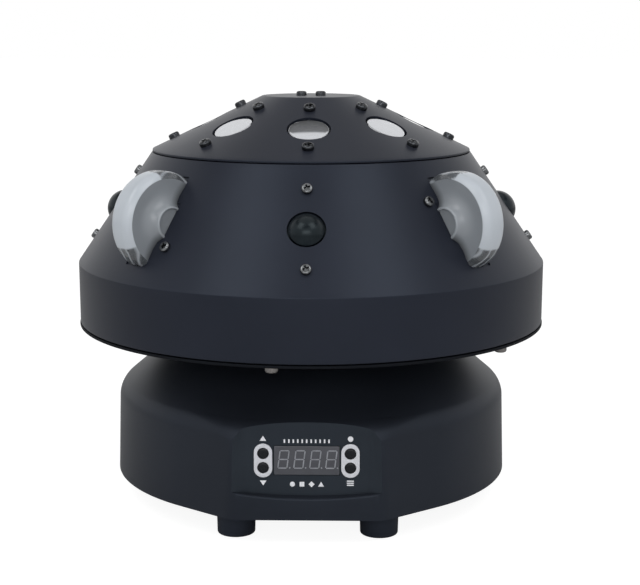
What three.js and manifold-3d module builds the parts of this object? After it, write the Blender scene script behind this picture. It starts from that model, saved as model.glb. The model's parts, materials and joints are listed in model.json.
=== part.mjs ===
// LED party light: a lens-studded head that turns on a squat round base with a small display.
// Millimetres, +Z up. The origin lies on the turning axis, on the surface that the feet stand on,
// and the display faces -Y. Azimuths are degrees from the front, towards +X.
import * as THREE from 'three';
import { mergeVertices } from 'three/addons/utils/BufferGeometryUtils.js';
import Module from 'manifold-3d';

const wasm = await Module();
wasm.setup();

// Gaps between pieces, and how far a cutting body runs past what it cuts.
const fit = { seat: 0.3, seam: 0.9, overrun: 3 };
const sides = { shell: 32, ring: 24, drum: 16, small: 12, tiny: 8 };

const feet = {
  height: 16.2,
  radius: 11.8,
  soleRadius: 11.4,
  rimInset: 18.35,
  azimuth: 23.3,
  screwRadius: 4.5,
  screwDepth: 8,
};

// The base housing is a moulded shell: a drafted wall, a rolled shoulder and a sloping top.
const base = {
  radius: 127.2,
  draftAngle: 1.8,
  wallHeight: 47.8,
  shoulderRadius: 18.7,
  shoulderTurn: 50,
  height: 82.5,
  wall: 2.6,
  frontInset: 1.2,
  facetAzimuth: 37.5,
  cornerRadius: 14,
  cornerSteps: 3,
  roundSteps: 32,
  shoulderSteps: 4,
  innerShoulderSteps: 2,
};
const bottomPlate = {
  thickness: 2.4,
  slotLength: 40,
  slotWidth: 3.2,
  slotPitch: 7,
  slotCount: 6,
  rimInset: 45.2,
};

// The flat control panel, sunk into the front wall above a curved ledge.
const panel = {
  depth: 4,
  centreHeight: 35.3,
  halfWidth: 37,
  flare: 2.4,
  creaseHeight: 14.1,
  creaseRise: 1.8,
  lipHeight: 12.9,
  lipRise: 4,
  lipSteps: 6,
};
const display = {
  width: 38.3,
  height: 17.3,
  thickness: 2.3,
  proud: 0.3,
  moduleWidth: 37,
  moduleHeight: 16,
  moduleDepth: 7.8,
};
const button = {
  radius: 3.1,
  proud: 0.6,
  travel: 0.6,
  crown: 0.35,
  pitch: 8.6,
  offsetX: 25.5,
  flangeRadius: 3.9,
  flangeThickness: 1,
  plateWidth: 10.7,
  plateHeight: 20.3,
  plateThickness: 0.8,
  plateArcSteps: 6,
};
const controlBoard = {
  halfWidth: 42,
  height: 29,
  thickness: 1.6,
  switchSize: 6,
  switchHeight: 4,
  plungerRadius: 1.7,
  plungerGap: 0.15,
  postRadius: 3.2,
  postX: 38,
};

// Sockets in a flat-bottomed recess at the back.
const rear = {
  depth: 9.2,
  halfWidth: 46,
  low: 5.5,
  high: 46,
};
const inlet = {
  offsetX: -28,
  flangeWidth: 31,
  flangeHeight: 24,
  flangeThickness: 2.4,
  bodyWidth: 27.4,
  bodyHeight: 20,
  depth: 22,
  cavityWidth: 24.4,
  cavityHeight: 17,
  cavityDepth: 17,
  cornerCut: 4,
  pinWidth: 2,
  pinHeight: 4,
  pinLength: 11.5,
  pinPitch: 7,
  pinRise: 2.2,
};
const socket = {
  inputX: 4.5,
  outputX: 31.5,
  flangeWidth: 25.6,
  flangeHeight: 30,
  flangeCorner: 4,
  flangeThickness: 2,
  barrelRadius: 11.7,
  depth: 20,
  cavityRadius: 8.4,
  cavityDepth: 14,
  faceDepth: 2,
  pinRadius: 1.25,
  pinLength: 8.6,
  pinCircle: 3.6,
  holeRadius: 1.6,
};

// The neck: hub, bearing and the gear drive below it.
const neck = { gap: 14.1 };
const hub = {
  flangeRadius: 38,
  flangeThickness: 4,
  neckTopRadius: 33,
  neckFootRadius: 25.4,
  shaftRadius: 21,
  boreRadius: 13,
  shaftLength: 33,
};
const bearing = {
  radius: 34,
  height: 12,
  drop: 1.6,
  innerRing: 4.4,
  outerRing: 4.6,
  shield: 1,
  shieldGap: 0.5,
};
const collar = { wall: 2.7, lip: 3.6, lipThickness: 2 };
const gear = {
  module: 2,
  teeth: 48,
  pinionTeeth: 12,
  width: 8,
  bossRadius: 25,
  pressureAngle: 20,
  backlash: 0.3,
  centreSlack: 0.35,
  addendumShare: 0.95,
  dedendumShare: 1.25,
};
const nut = { radius: 28, thickness: 5, flats: 6 };
const pinion = { extraWidth: 2, bossRadius: 7, bossLength: 6, shaftRadius: 2.5, shaftDepth: 8 };
const motor = { size: 42, corner: 4.5, headroom: 15.6, pilotRadius: 11, pilotHeight: 2 };
const bracket = { sheet: 1.6, foot: 12, slipSpan: 40, slipDepth: 26 };
const slipRing = {
  headroom: 4.7,
  radius: 11,
  height: 24,
  flangeRadius: 17,
  flangeThickness: 2,
  boreDepth: 9,
  rotorRadius: 5,
  rotorCollar: 4,
  rotorRise: 4,
  rotorStem: 3,
};
const supply = {
  rimGap: 19.2,
  width: 54,
  length: 84,
  height: 30,
  shelfLength: 15,
  shelfHeight: 16,
};
const mainBoard = {
  rimGap: 21.2,
  width: 52,
  length: 76,
  thickness: 1.6,
  standoff: 6,
  standoffRadius: 3,
  standoffInset: 5,
  chipSize: 14,
  chipHeight: 3,
  capacitorRadius: 5,
  capacitorHeight: 13,
};

// The head: a skirt, a steep cone, and a separate shallow conical cap.
const head = {
  radius: 150,
  skirtHeight: 40,
  skirtTaper: 0.5,
  coneRise: 70.4,
  coneTopRadius: 101.4,
  wall: 2.4,
  flangeReach: 9.4,
  floorThickness: 1.6,
  floorLip: 0.25,
  floorSeam: 0.75,
  upstandHeight: 8,
  upstandWall: 1.8,
  wireHoleRadius: 14,
};
const cap = {
  overhang: 0.3,
  rimHeight: 0.8,
  landInset: 1.6,
  rise: 34.2,
  discRadius: 31.2,
  spigotWall: 2,
  spigotDepth: 7,
};

// Round windows in the cap, each with a recessed lens.
const beam = {
  count: 8,
  holeRadius: 13.3,
  lensRadius: 12.4,
  crown: 1.3,
  crownDrop: 0.4,
  flangeRadius: 14.6,
  flangeThickness: 1.4,
  crownSteps: 2,
  trayThickness: 1.8,
  trayMargin: 7.4,
  bowlRadius: 12,
  bowlFloorRadius: 5,
  bowlDepth: 13,
  bowlWall: 1.6,
};
// Glossy domes on the steep cone.
const dome = {
  count: 4,
  radius: 10.2,
  proud: 7.2,
  gap: 1,
  domeSteps: 3,
  flangeRadius: 14.6,
  flangeThickness: 1.6,
  strapHalfLength: 31,
  strapHalfWidth: 7,
  strapThickness: 1.6,
  cupWall: 1.8,
  cupDepth: 13,
  chipRadius: 4,
  chipHeight: 2,
};
// Clear half wheels that spread a fan of beams, standing out of slots in the steep cone.
const fan = {
  count: 4,
  radius: 30.2,
  shoulderRadius: 27.8,
  sink: 1.3,
  dishRadius: 13.5,
  dishHalf: 4.6,
  dishSteps: 3,
  bossOuterRadius: 9.7,
  bossInnerRadius: 7.6,
  rimHalf: 8.8,
  crestSteps: 2,
  bossHalf: 12.6,
  bossRecess: 3.4,
  sides: 20,
  footEdge: 1.6,
  footHalfWidth: 14,
  footThickness: 1.3,
  ledPocketRadius: 5.2,
  ledPocketDepth: 3.4,
  plateHalfLength: 36,
  plateHalfWidth: 21,
  plateThickness: 1.8,
  sinkSize: 30,
  sinkDepth: 12,
  sinkSlot: 3,
  sinkSlotCount: 4,
  sinkSlotDepth: 8,
  chipRadius: 3.4,
};
const driverBoard = {
  width: 96,
  length: 62,
  rimInset: 72,
  thickness: 1.6,
  standoff: 7,
  standoffRadius: 3,
  standoffInset: 5,
  moduleSize: 22,
  moduleHeight: 9,
  moduleSpread: 30,
};

// Finishes, from the photograph.
const finishes = {
  shell: { color: 0x2b2c31, roughness: 0.55, metalness: 0.1 },
  floor: { color: 0x1f2024, roughness: 0.6, metalness: 0.1 },
  rubber: { color: 0x1b1b1d, roughness: 0.85, metalness: 0 },
  clear: { color: 0xe9edf2, roughness: 0.05, metalness: 0, transparent: true, opacity: 0.45 },
  dark: { color: 0x1a1c20, roughness: 0.08, metalness: 0, transparent: true, opacity: 0.8 },
  window: { color: 0x5d5d63, roughness: 0.2, metalness: 0 },
  pale: { color: 0xcfd0d4, roughness: 0.45, metalness: 0 },
  black: { color: 0x131315, roughness: 0.4, metalness: 0 },
  board: { color: 0x1f5a33, roughness: 0.6, metalness: 0 },
  aluminium: { color: 0xb9bcc1, roughness: 0.35, metalness: 0.9 },
  steel: { color: 0x9a9ca1, roughness: 0.35, metalness: 0.95 },
  nylon: { color: 0xe4e1d6, roughness: 0.5, metalness: 0 },
  mirror: { color: 0xdfe2e6, roughness: 0.12, metalness: 0.95 },
};

const degrees = THREE.MathUtils.degToRad;

// Heights of the main seams, from the floor up.
const level = {};
level.floor = feet.height;
level.plateTop = level.floor + bottomPlate.thickness;
level.wallTop = level.floor + base.wallHeight;
level.plateau = level.floor + base.height;
level.headFloor = level.plateau + neck.gap;
level.skirt = level.headFloor + head.floorThickness + head.floorSeam;
level.fold = level.headFloor + head.skirtHeight;
level.seam = level.fold + head.coneRise;
level.crown = level.seam + cap.rise;
level.panel = level.floor + panel.centreHeight;

// Geometry helpers

// A triangle list with shared corners merged, wound so that its faces point outwards.
function solid(geometry) {
  const bare = new THREE.BufferGeometry();
  bare.setAttribute('position', geometry.getAttribute('position'));
  bare.setIndex(geometry.index);
  const merged = mergeVertices(bare);
  const position = merged.getAttribute('position');
  const order = merged.index.array;
  const kept = [];
  let volume = 0;
  const corner = [new THREE.Vector3(), new THREE.Vector3(), new THREE.Vector3()];
  for (let i = 0; i < order.length; i += 3) {
    const [a, b, c] = [order[i], order[i + 1], order[i + 2]];
    if (a === b || b === c || c === a) continue;
    kept.push(a, b, c);
    [a, b, c].forEach((index, n) => corner[n].fromBufferAttribute(position, index));
    volume += corner[0].dot(corner[1].cross(corner[2]));
  }
  if (volume < 0) kept.reverse();
  return new wasm.Manifold(new wasm.Mesh({
    numProp: 3,
    vertProperties: Float32Array.from(position.array),
    triVerts: Uint32Array.from(kept),
  }));
}

const asSolid = (shape) => (shape.isBufferGeometry ? solid(shape) : shape);
const join = (...shapes) => shapes.map(asSolid).reduce((whole, next) => whole.add(next));
const cut = (shape, ...tools) => tools.map(asSolid).reduce((whole, tool) => whole.subtract(tool), asSolid(shape));
const common = (shape, other) => asSolid(shape).intersect(asSolid(other));

// A body turned about Z from [radius, height] points, closed by itself or by the axis.
function revolve(points, count) {
  const profile = points.map(([radius, height]) => new THREE.Vector2(radius, height));
  const onAxis = points[0][0] === 0 && points.at(-1)[0] === 0;
  if (!onAxis) profile.push(profile[0].clone());
  return new THREE.LatheGeometry(profile, count).rotateX(Math.PI / 2);
}

function drum(radius, low, high, count, topRadius = radius) {
  return revolve([[0, low], [radius, low], [topRadius, high], [0, high]], count);
}

function tube(inner, outer, low, high, count) {
  return revolve([[inner, low], [outer, low], [outer, high], [inner, high]], count);
}

function block(x0, x1, y0, y1, z0, z1) {
  const shape = new THREE.BoxGeometry(x1 - x0, y1 - y0, z1 - z0);
  return shape.translate((x0 + x1) / 2, (y0 + y1) / 2, (z0 + z1) / 2);
}

// An outline of [x, y] points pushed up from low to high.
function prism(outline, low, high, holes = []) {
  const shape = new THREE.Shape(outline.map(([x, y]) => new THREE.Vector2(x, y)));
  shape.holes = holes.map((hole) => new THREE.Path(hole.map(([x, y]) => new THREE.Vector2(x, y))));
  const geometry = new THREE.ExtrudeGeometry(shape, { depth: high - low, bevelEnabled: false });
  return geometry.translate(0, 0, low);
}

// Turns what was built up along Z so that Z becomes +Y, with its own Y becoming +Z.
const faceBack = (geometry) => geometry.rotateX(-Math.PI / 2).rotateY(Math.PI);
// The same towards -Y, for the front panel.
const faceFront = (geometry) => geometry.rotateX(Math.PI / 2);

// The second side of a wall: the path moved to its left by the wall's thickness, with mitred corners.
function offsetPath(path, distance) {
  const normals = path.slice(1).map(([x, y], i) => {
    const run = new THREE.Vector2(x - path[i][0], y - path[i][1]).normalize();
    return new THREE.Vector2(-run.y, run.x);
  });
  return path.map(([x, y], i) => {
    const before = normals[Math.max(i - 1, 0)];
    const after = normals[Math.min(i, normals.length - 1)];
    const mitre = before.clone().add(after).normalize();
    const reach = distance / mitre.dot(before);
    return [x + mitre.x * reach, y + mitre.y * reach];
  });
}

const thicken = (path, wall) => [...path, ...offsetPath(path, wall).reverse()];

function rectangle(halfWidth, halfHeight, chamfer = 0) {
  if (chamfer === 0) {
    return [[-halfWidth, -halfHeight], [halfWidth, -halfHeight], [halfWidth, halfHeight], [-halfWidth, halfHeight]];
  }
  const corners = [[1, -1, 0], [1, 1, 1], [-1, 1, 0], [-1, -1, 1]];
  return corners.flatMap(([right, up, turn]) => {
    const sideFirst = [right * halfWidth, up * (halfHeight - chamfer)];
    const endFirst = [right * (halfWidth - chamfer), up * halfHeight];
    return turn === 1 ? [sideFirst, endFirst] : [endFirst, sideFirst];
  });
}

// A body skinned over rings of equal point counts, closed by a fan at each end.
function skin(rings) {
  const positions = [];
  const index = [];
  const count = rings[0].length;
  rings.forEach((ring) => ring.forEach((point) => positions.push(...point)));
  for (let r = 0; r < rings.length - 1; r += 1) {
    for (let i = 0; i < count; i += 1) {
      const next = (i + 1) % count;
      const [a, b] = [r * count + i, r * count + next];
      const [c, d] = [a + count, b + count];
      index.push(a, b, d, a, d, c);
    }
  }
  [0, rings.length - 1].forEach((r) => {
    const middle = rings[r].reduce((sum, point) => sum.map((value, axis) => value + point[axis] / count), [0, 0, 0]);
    const centre = positions.length / 3;
    positions.push(...middle);
    for (let i = 0; i < count; i += 1) {
      const [a, b] = [r * count + i, r * count + ((i + 1) % count)];
      index.push(...(r === 0 ? [centre, b, a] : [centre, a, b]));
    }
  });
  const geometry = new THREE.BufferGeometry();
  geometry.setAttribute('position', new THREE.Float32BufferAttribute(positions, 3));
  geometry.setIndex(index);
  return geometry;
}

// The object's tree

const light = new THREE.Group();

function addPiece(parent, name, shape, finish) {
  const mesh = asSolid(shape).getMesh();
  const indexed = new THREE.BufferGeometry();
  indexed.setAttribute('position', new THREE.BufferAttribute(mesh.vertProperties, 3));
  indexed.setIndex(new THREE.BufferAttribute(mesh.triVerts, 1));
  const geometry = indexed.toNonIndexed();
  geometry.computeVertexNormals();
  const piece = new THREE.Mesh(geometry, new THREE.MeshStandardMaterial(finishes[finish]));
  piece.name = name;
  parent.add(piece);
  return piece;
}

// A slope is a straight stretch of the head's side, from its lower and outer end to its upper end.
// A seat on it has X across the slope, Y up it and Z straight out of it.
function slope(lowRadius, lowHeight, highRadius, highHeight) {
  const run = lowRadius - highRadius;
  const rise = highHeight - lowHeight;
  return {
    angle: Math.atan2(rise, run),
    radius: (lowRadius + highRadius) / 2,
    height: (lowHeight + highHeight) / 2,
  };
}

// How far a round, faceted wall falls away under a flat piece that reaches so far across and up the slope.
function fallAway(side, across, up = 0) {
  const radius = side.radius - up * Math.cos(side.angle);
  const bend = radius / Math.sin(side.angle);
  const facetSag = radius * (1 - Math.cos(Math.PI / sides.shell)) * Math.sin(side.angle);
  return bend - Math.sqrt(bend ** 2 - across ** 2) + facetSag;
}

function seatMatrix(side, azimuth) {
  const turn = new THREE.Matrix4().makeRotationZ(azimuth);
  const move = new THREE.Matrix4().makeTranslation(0, -side.radius, side.height);
  const tilt = new THREE.Matrix4().makeRotationX(side.angle);
  return turn.multiply(move).multiply(tilt);
}

function seatGroup(side, azimuth) {
  const spoke = new THREE.Group();
  spoke.rotation.z = azimuth;
  const seat = new THREE.Group();
  seat.position.set(0, -side.radius, side.height);
  seat.rotation.x = side.angle;
  spoke.add(seat);
  light.add(spoke);
  return seat;
}

const around = (count, first = 0) => Array.from({ length: count }, (_, i) => first + (i * 2 * Math.PI) / count);

const steepSide = slope(head.radius, level.fold, head.coneTopRadius, level.seam);
const capRadius = head.coneTopRadius + cap.overhang;
const capSide = slope(capRadius, level.seam + cap.rimHeight, cap.discRadius, level.crown);

// Base housing

// One level of the base: round at the sides and back, with facets that run on to a flat front.
function basePlan(radius, reach, corner, height) {
  const facet = degrees(base.facetAzimuth);
  const centreX = (radius - corner - (reach - corner) * Math.cos(facet)) / Math.sin(facet);
  const centreY = corner - reach;
  const ring = [];
  const bend = (x, y, r, from, to, steps) => {
    for (let i = 0; i <= steps; i += 1) {
      const angle = from + ((to - from) * i) / steps;
      ring.push([x + r * Math.sin(angle), y - r * Math.cos(angle), height]);
    }
  };
  bend(-centreX, centreY, corner, -facet, 0, base.cornerSteps);
  bend(centreX, centreY, corner, 0, facet, base.cornerSteps);
  bend(0, 0, radius, facet, 2 * Math.PI - facet, base.roundSteps);
  return ring;
}

// The base's outer form for inset 0, and its hollow for inset base.wall, with the front at reach.
function baseForm(inset, reach, bottom) {
  const wallLean = base.wallHeight * Math.tan(degrees(base.draftAngle));
  const bend = base.shoulderRadius - inset;
  const turn = degrees(base.shoulderTurn);
  const rings = [];
  const addLevel = (radius, height, roundness) => {
    const front = reach * (1 - roundness) + radius * roundness;
    const corner = base.cornerRadius * (1 - roundness) + radius * roundness;
    rings.push(basePlan(radius, front, corner, height));
  };
  const lean = inset === 0 ? wallLean : 0;
  const wallRadius = base.radius - wallLean - inset;
  addLevel(base.radius - inset - (wallLean - lean), bottom, 0);
  const steps = inset === 0 ? base.shoulderSteps : base.innerShoulderSteps;
  for (let i = 0; i <= steps; i += 1) {
    const angle = (turn * i) / steps;
    const radius = wallRadius - bend * (1 - Math.cos(angle));
    addLevel(radius, level.wallTop + bend * Math.sin(angle), i / steps);
  }
  const slopeStart = level.wallTop + bend * Math.sin(turn);
  const top = level.plateau - inset;
  const topRadius = wallRadius - bend * (1 - Math.cos(turn)) - (top - slopeStart) * Math.tan(turn);
  addLevel(topRadius, top, 1);
  return skin(rings);
}

const frontReach = base.radius - base.frontInset;
const panelFace = frontReach - panel.depth;
const frontInner = panelFace - base.wall;
const baseInnerRadius = base.radius - base.wall - base.wallHeight * Math.tan(degrees(base.draftAngle));

// The cutter for the panel recess: flat floor, flared sides, and a ledge bowed like a smile.
function panelRecess() {
  const outer = frontReach + fit.overrun;
  const depthShare = (outer - panelFace) / panel.depth;
  const top = level.plateau;
  const rim = (halfWidth, crease, rise, y) => {
    const ring = [[halfWidth, y, top], [-halfWidth, y, top]];
    for (let i = 0; i <= panel.lipSteps; i += 1) {
      const across = (2 * i) / panel.lipSteps - 1;
      ring.push([halfWidth * across, y, level.floor + crease + rise * across ** 2]);
    }
    return ring;
  };
  const crease = panel.creaseHeight + (panel.lipHeight - panel.creaseHeight) * depthShare;
  const rise = panel.creaseRise + (panel.lipRise - panel.creaseRise) * depthShare;
  return skin([
    rim(panel.halfWidth, panel.creaseHeight, panel.creaseRise, -panelFace),
    rim(panel.halfWidth + panel.flare * depthShare, crease, rise, -outer),
  ]);
}

const buttonPlaces = [
  ['up', -1, 1],
  ['down', -1, -1],
  ['enter', 1, 1],
  ['menu', 1, -1],
].map(([name, side, up]) => ({
  name,
  x: side * button.offsetX,
  z: level.panel + (up * button.pitch) / 2,
}));

function panelDrum(radius, front, back, x, z, count) {
  return faceFront(drum(radius, back, front, count)).translate(x, 0, z);
}

const bearingTop = level.plateau - bearing.drop;
const bearingBottom = bearingTop - bearing.height;

// Where the sockets' faces and bodies lie, behind the recess at the back.
const rearFace = base.radius - rear.depth;
const rearWall = rearFace - base.wall;
const rearHeight = level.floor + (rear.low + rear.high) / 2;

function makeBaseHousing() {
  const outer = solid(baseForm(0, frontReach, level.floor));
  const hollow = baseForm(base.wall, frontInner, level.floor - fit.overrun);
  const padHalf = rear.halfWidth + base.wall;
  const padLow = level.plateTop + fit.seat;
  const padHigh = level.floor + rear.high + base.wall;
  const pad = common(outer, block(-padHalf, padHalf, rearWall, base.radius, padLow, padHigh));
  const collarRadius = bearing.radius + fit.seat;
  const collarLow = bearingBottom - fit.seat - collar.lipThickness;
  const lipRadius = collarRadius - collar.lip;
  const collarRing = revolve([
    [lipRadius, collarLow],
    [collarRadius + collar.wall, collarLow],
    [collarRadius + collar.wall, level.plateau - base.wall / 2],
    [collarRadius, level.plateau - base.wall / 2],
    [collarRadius, collarLow + collar.lipThickness],
    [lipRadius, collarLow + collar.lipThickness],
  ], sides.ring);
  const posts = [-controlBoard.postX, controlBoard.postX].map((x) => panelDrum(
    controlBoard.postRadius,
    frontInner + base.wall / 2,
    frontInner - display.moduleDepth,
    x,
    level.panel,
    sides.tiny,
  ));
  const shell = join(cut(outer, hollow), pad, collarRing, ...posts);
  const windowHalfWidth = display.width / 2 + fit.seat;
  const windowHalfHeight = display.height / 2 + fit.seat;
  const window = block(
    -windowHalfWidth,
    windowHalfWidth,
    -base.radius,
    -frontInner + fit.overrun,
    level.panel - windowHalfHeight,
    level.panel + windowHalfHeight,
  );
  const buttonHoles = buttonPlaces.map(({ x, z }) => panelDrum(
    button.radius + fit.seat,
    base.radius,
    frontInner - fit.overrun,
    x,
    z,
    sides.small,
  ));
  const bore = drum(collarRadius, level.plateau - base.wall * 2, level.plateau + fit.overrun, sides.ring);
  const recess = block(
    -rear.halfWidth,
    rear.halfWidth,
    rearFace,
    base.radius + fit.overrun,
    level.floor + rear.low,
    level.floor + rear.high,
  );
  const rearFront = rearWall - fit.overrun;
  const rearEnd = rearFace + fit.overrun;
  const inletHole = faceBack(prism(
    rectangle(inlet.bodyWidth / 2 + fit.seat, inlet.bodyHeight / 2 + fit.seat),
    rearFront,
    rearEnd,
  )).translate(inlet.offsetX, 0, rearHeight);
  const socketHoles = [socket.inputX, socket.outputX].map((x) => faceBack(
    drum(socket.barrelRadius + fit.seat, rearFront, rearEnd, sides.drum),
  ).translate(x, 0, rearHeight));
  return cut(shell, panelRecess(), window, ...buttonHoles, bore, recess, inletHole, ...socketHoles);
}

addPiece(light, 'base_housing', makeBaseHousing(), 'shell');

function makeBottomPlate() {
  const inset = base.wall + fit.seat;
  const radius = base.radius - inset - base.wallHeight * Math.tan(degrees(base.draftAngle));
  const reach = frontInner - fit.seat;
  const ringAt = (height) => basePlan(radius, reach, base.cornerRadius, height);
  const slotMiddle = (bottomPlate.slotCount - 1) / 2;
  const slots = [-1, 1].flatMap((side) => Array.from({ length: bottomPlate.slotCount }, (_, i) => {
    const x = side * (base.radius - bottomPlate.rimInset) + (i - slotMiddle) * bottomPlate.slotPitch;
    return block(
      x - bottomPlate.slotWidth / 2,
      x + bottomPlate.slotWidth / 2,
      -bottomPlate.slotLength / 2,
      bottomPlate.slotLength / 2,
      level.floor - fit.overrun,
      level.plateTop + fit.overrun,
    );
  }));
  return cut(skin([ringAt(level.floor), ringAt(level.plateTop)]), ...slots);
}

addPiece(light, 'base_bottom_plate', makeBottomPlate(), 'floor');

// Feet

const footRadius = base.radius - feet.rimInset;
const footX = footRadius * Math.sin(degrees(feet.azimuth));
const footY = footRadius * Math.cos(degrees(feet.azimuth));

[['front', -1], ['rear', 1]].forEach(([end, towardsBack]) => {
  [['left', -1], ['right', 1]].forEach(([side, towardsRight]) => {
    const foot = addPiece(light, `foot_${end}_${side}`, revolve([
      [0, feet.screwDepth],
      [feet.screwRadius, feet.screwDepth],
      [feet.screwRadius, 0],
      [feet.soleRadius, 0],
      [feet.radius, feet.height],
      [0, feet.height],
    ], sides.drum), 'rubber');
    foot.position.set(towardsRight * footX, towardsBack * footY, 0);
  });
});

// Display, button plates, buttons and the board behind the panel

const windowFace = panelFace + display.proud;
const moduleFront = windowFace - display.thickness - fit.seat;
const boardFront = frontInner - display.moduleDepth;
const plateFace = panelFace + button.plateThickness;
const capFace = plateFace + button.proud;
const flangeFront = frontInner - fit.seat;
const flangeBack = flangeFront - button.flangeThickness;

addPiece(light, 'display_window', block(
  -display.width / 2,
  display.width / 2,
  -windowFace,
  -windowFace + display.thickness,
  level.panel - display.height / 2,
  level.panel + display.height / 2,
), 'window');

addPiece(light, 'display_module', block(
  -display.moduleWidth / 2,
  display.moduleWidth / 2,
  -moduleFront,
  -boardFront,
  level.panel - display.moduleHeight / 2,
  level.panel + display.moduleHeight / 2,
), 'black');

function makeControlBoard() {
  const sheet = block(
    -controlBoard.halfWidth,
    controlBoard.halfWidth,
    -boardFront,
    -boardFront + controlBoard.thickness,
    level.panel - controlBoard.height / 2,
    level.panel + controlBoard.height / 2,
  );
  const plungerTip = flangeBack - button.travel - controlBoard.plungerGap;
  const half = controlBoard.switchSize / 2;
  const switches = buttonPlaces.map(({ x, z }) => join(
    block(
      x - half,
      x + half,
      -boardFront - controlBoard.switchHeight,
      -boardFront + controlBoard.thickness / 2,
      z - half,
      z + half,
    ),
    panelDrum(controlBoard.plungerRadius, plungerTip, boardFront, x, z, sides.tiny),
  ));
  return join(sheet, ...switches);
}

addPiece(light, 'control_board', makeControlBoard(), 'board');

// A plate with round ends, pierced for an upper and a lower button.
function makeButtonPlate(x) {
  const radius = button.plateWidth / 2;
  const straight = button.plateHeight / 2 - radius;
  const outline = [];
  [[1, 0], [-1, Math.PI]].forEach(([up, start]) => {
    for (let i = 0; i <= button.plateArcSteps; i += 1) {
      const angle = start + (Math.PI * i) / button.plateArcSteps;
      outline.push([radius * Math.cos(angle), up * straight + radius * Math.sin(angle)]);
    }
  });
  const hole = (up) => around(sides.small).map((angle) => [
    (button.radius + fit.seat) * Math.cos(angle),
    (up * button.pitch) / 2 + (button.radius + fit.seat) * Math.sin(angle),
  ]);
  const plate = prism(outline, panelFace, plateFace, [hole(1), hole(-1)]);
  return faceFront(plate).translate(x, 0, level.panel);
}

addPiece(light, 'button_plate_left', makeButtonPlate(-button.offsetX), 'pale');
addPiece(light, 'button_plate_right', makeButtonPlate(button.offsetX), 'pale');

buttonPlaces.forEach(({ name, x, z }) => {
  const profile = [
    [0, flangeBack],
    [button.flangeRadius, flangeBack],
    [button.flangeRadius, flangeFront],
    [button.radius, flangeFront],
    [button.radius, capFace - button.crown],
    [button.radius - button.crown, capFace],
    [0, capFace],
  ];
  const shape = faceFront(revolve(profile, sides.small)).translate(x, 0, z);
  addPiece(light, `button_${name}`, shape, 'black');
});

// Sockets at the back

function makeInlet() {
  const halfWidth = inlet.bodyWidth / 2;
  const halfHeight = inlet.bodyHeight / 2;
  const keyed = (width, height, chamfer) => [
    [-width, -height],
    [width, -height],
    [width, height - chamfer],
    [width - chamfer, height],
    [-width + chamfer, height],
    [-width, height - chamfer],
  ];
  const face = rearFace + inlet.flangeThickness;
  const flange = prism(rectangle(inlet.flangeWidth / 2, inlet.flangeHeight / 2, base.wall), rearFace, face);
  const body = prism(rectangle(halfWidth, halfHeight), face - inlet.depth, face - inlet.flangeThickness / 2);
  const cavityFloor = face - inlet.cavityDepth;
  const cavity = prism(
    keyed(inlet.cavityWidth / 2, inlet.cavityHeight / 2, inlet.cornerCut),
    cavityFloor,
    face + fit.overrun,
  );
  const pins = [-1, 0, 1].map((place) => {
    const y = (place === 0 ? 1 : -1) * (inlet.pinRise / 2);
    const outline = rectangle(inlet.pinWidth / 2, inlet.pinHeight / 2);
    const pin = prism(outline, cavityFloor - fit.overrun / 2, cavityFloor + inlet.pinLength);
    return pin.translate(place * inlet.pinPitch, y, 0);
  });
  const whole = join(cut(join(flange, body), cavity), ...pins);
  return whole;
}

function makeSocket(isInput) {
  const face = rearFace + socket.flangeThickness;
  const outline = rectangle(socket.flangeWidth / 2, socket.flangeHeight / 2, socket.flangeCorner);
  const flange = prism(outline, rearFace, face);
  const barrel = drum(socket.barrelRadius, face - socket.depth, face - socket.flangeThickness / 2, sides.drum);
  const depth = isInput ? socket.cavityDepth : socket.faceDepth;
  const cavity = drum(socket.cavityRadius, face - depth, face + fit.overrun, sides.drum);
  const body = cut(join(flange, barrel), cavity);
  const places = [0, 1, 2].map((i) => (Math.PI * (1 + i)) / 2);
  const spots = places.map((angle) => [socket.pinCircle * Math.cos(angle), -socket.pinCircle * Math.sin(angle)]);
  if (isInput) {
    const root = face - depth - fit.overrun / 2;
    const tip = face - depth + socket.pinLength;
    return join(body, ...spots.map(([x, y]) => drum(socket.pinRadius, root, tip, sides.tiny).translate(x, y, 0)));
  }
  const end = face - socket.cavityDepth;
  return cut(body, ...spots.map(([x, y]) => drum(socket.holeRadius, end, face, sides.tiny).translate(x, y, 0)));
}

// Sockets are built with their mouths up, then laid back to look out of the rear recess.
function addRearSocket(name, shape, x) {
  const piece = addPiece(light, name, shape, 'black');
  piece.rotation.set(-Math.PI / 2, Math.PI, 0, 'YXZ');
  piece.position.set(x, 0, rearHeight);
}

addRearSocket('power_inlet', makeInlet(), inlet.offsetX);
addRearSocket('dmx_input_socket', makeSocket(true), socket.inputX);
addRearSocket('dmx_output_socket', makeSocket(false), socket.outputX);

// Power supply and main board on the bottom plate

function makeSupply() {
  const low = supply.rimGap - base.radius;
  const high = low + supply.width;
  const half = supply.length / 2;
  const shelfEdge = half - supply.shelfLength;
  const cage = block(low, high, -half, shelfEdge, level.plateTop, level.plateTop + supply.height);
  const shelf = block(
    low,
    high,
    shelfEdge - base.wall,
    half,
    level.plateTop,
    level.plateTop + supply.shelfHeight,
  );
  return join(cage, shelf);
}

addPiece(light, 'power_supply', makeSupply(), 'aluminium');

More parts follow.
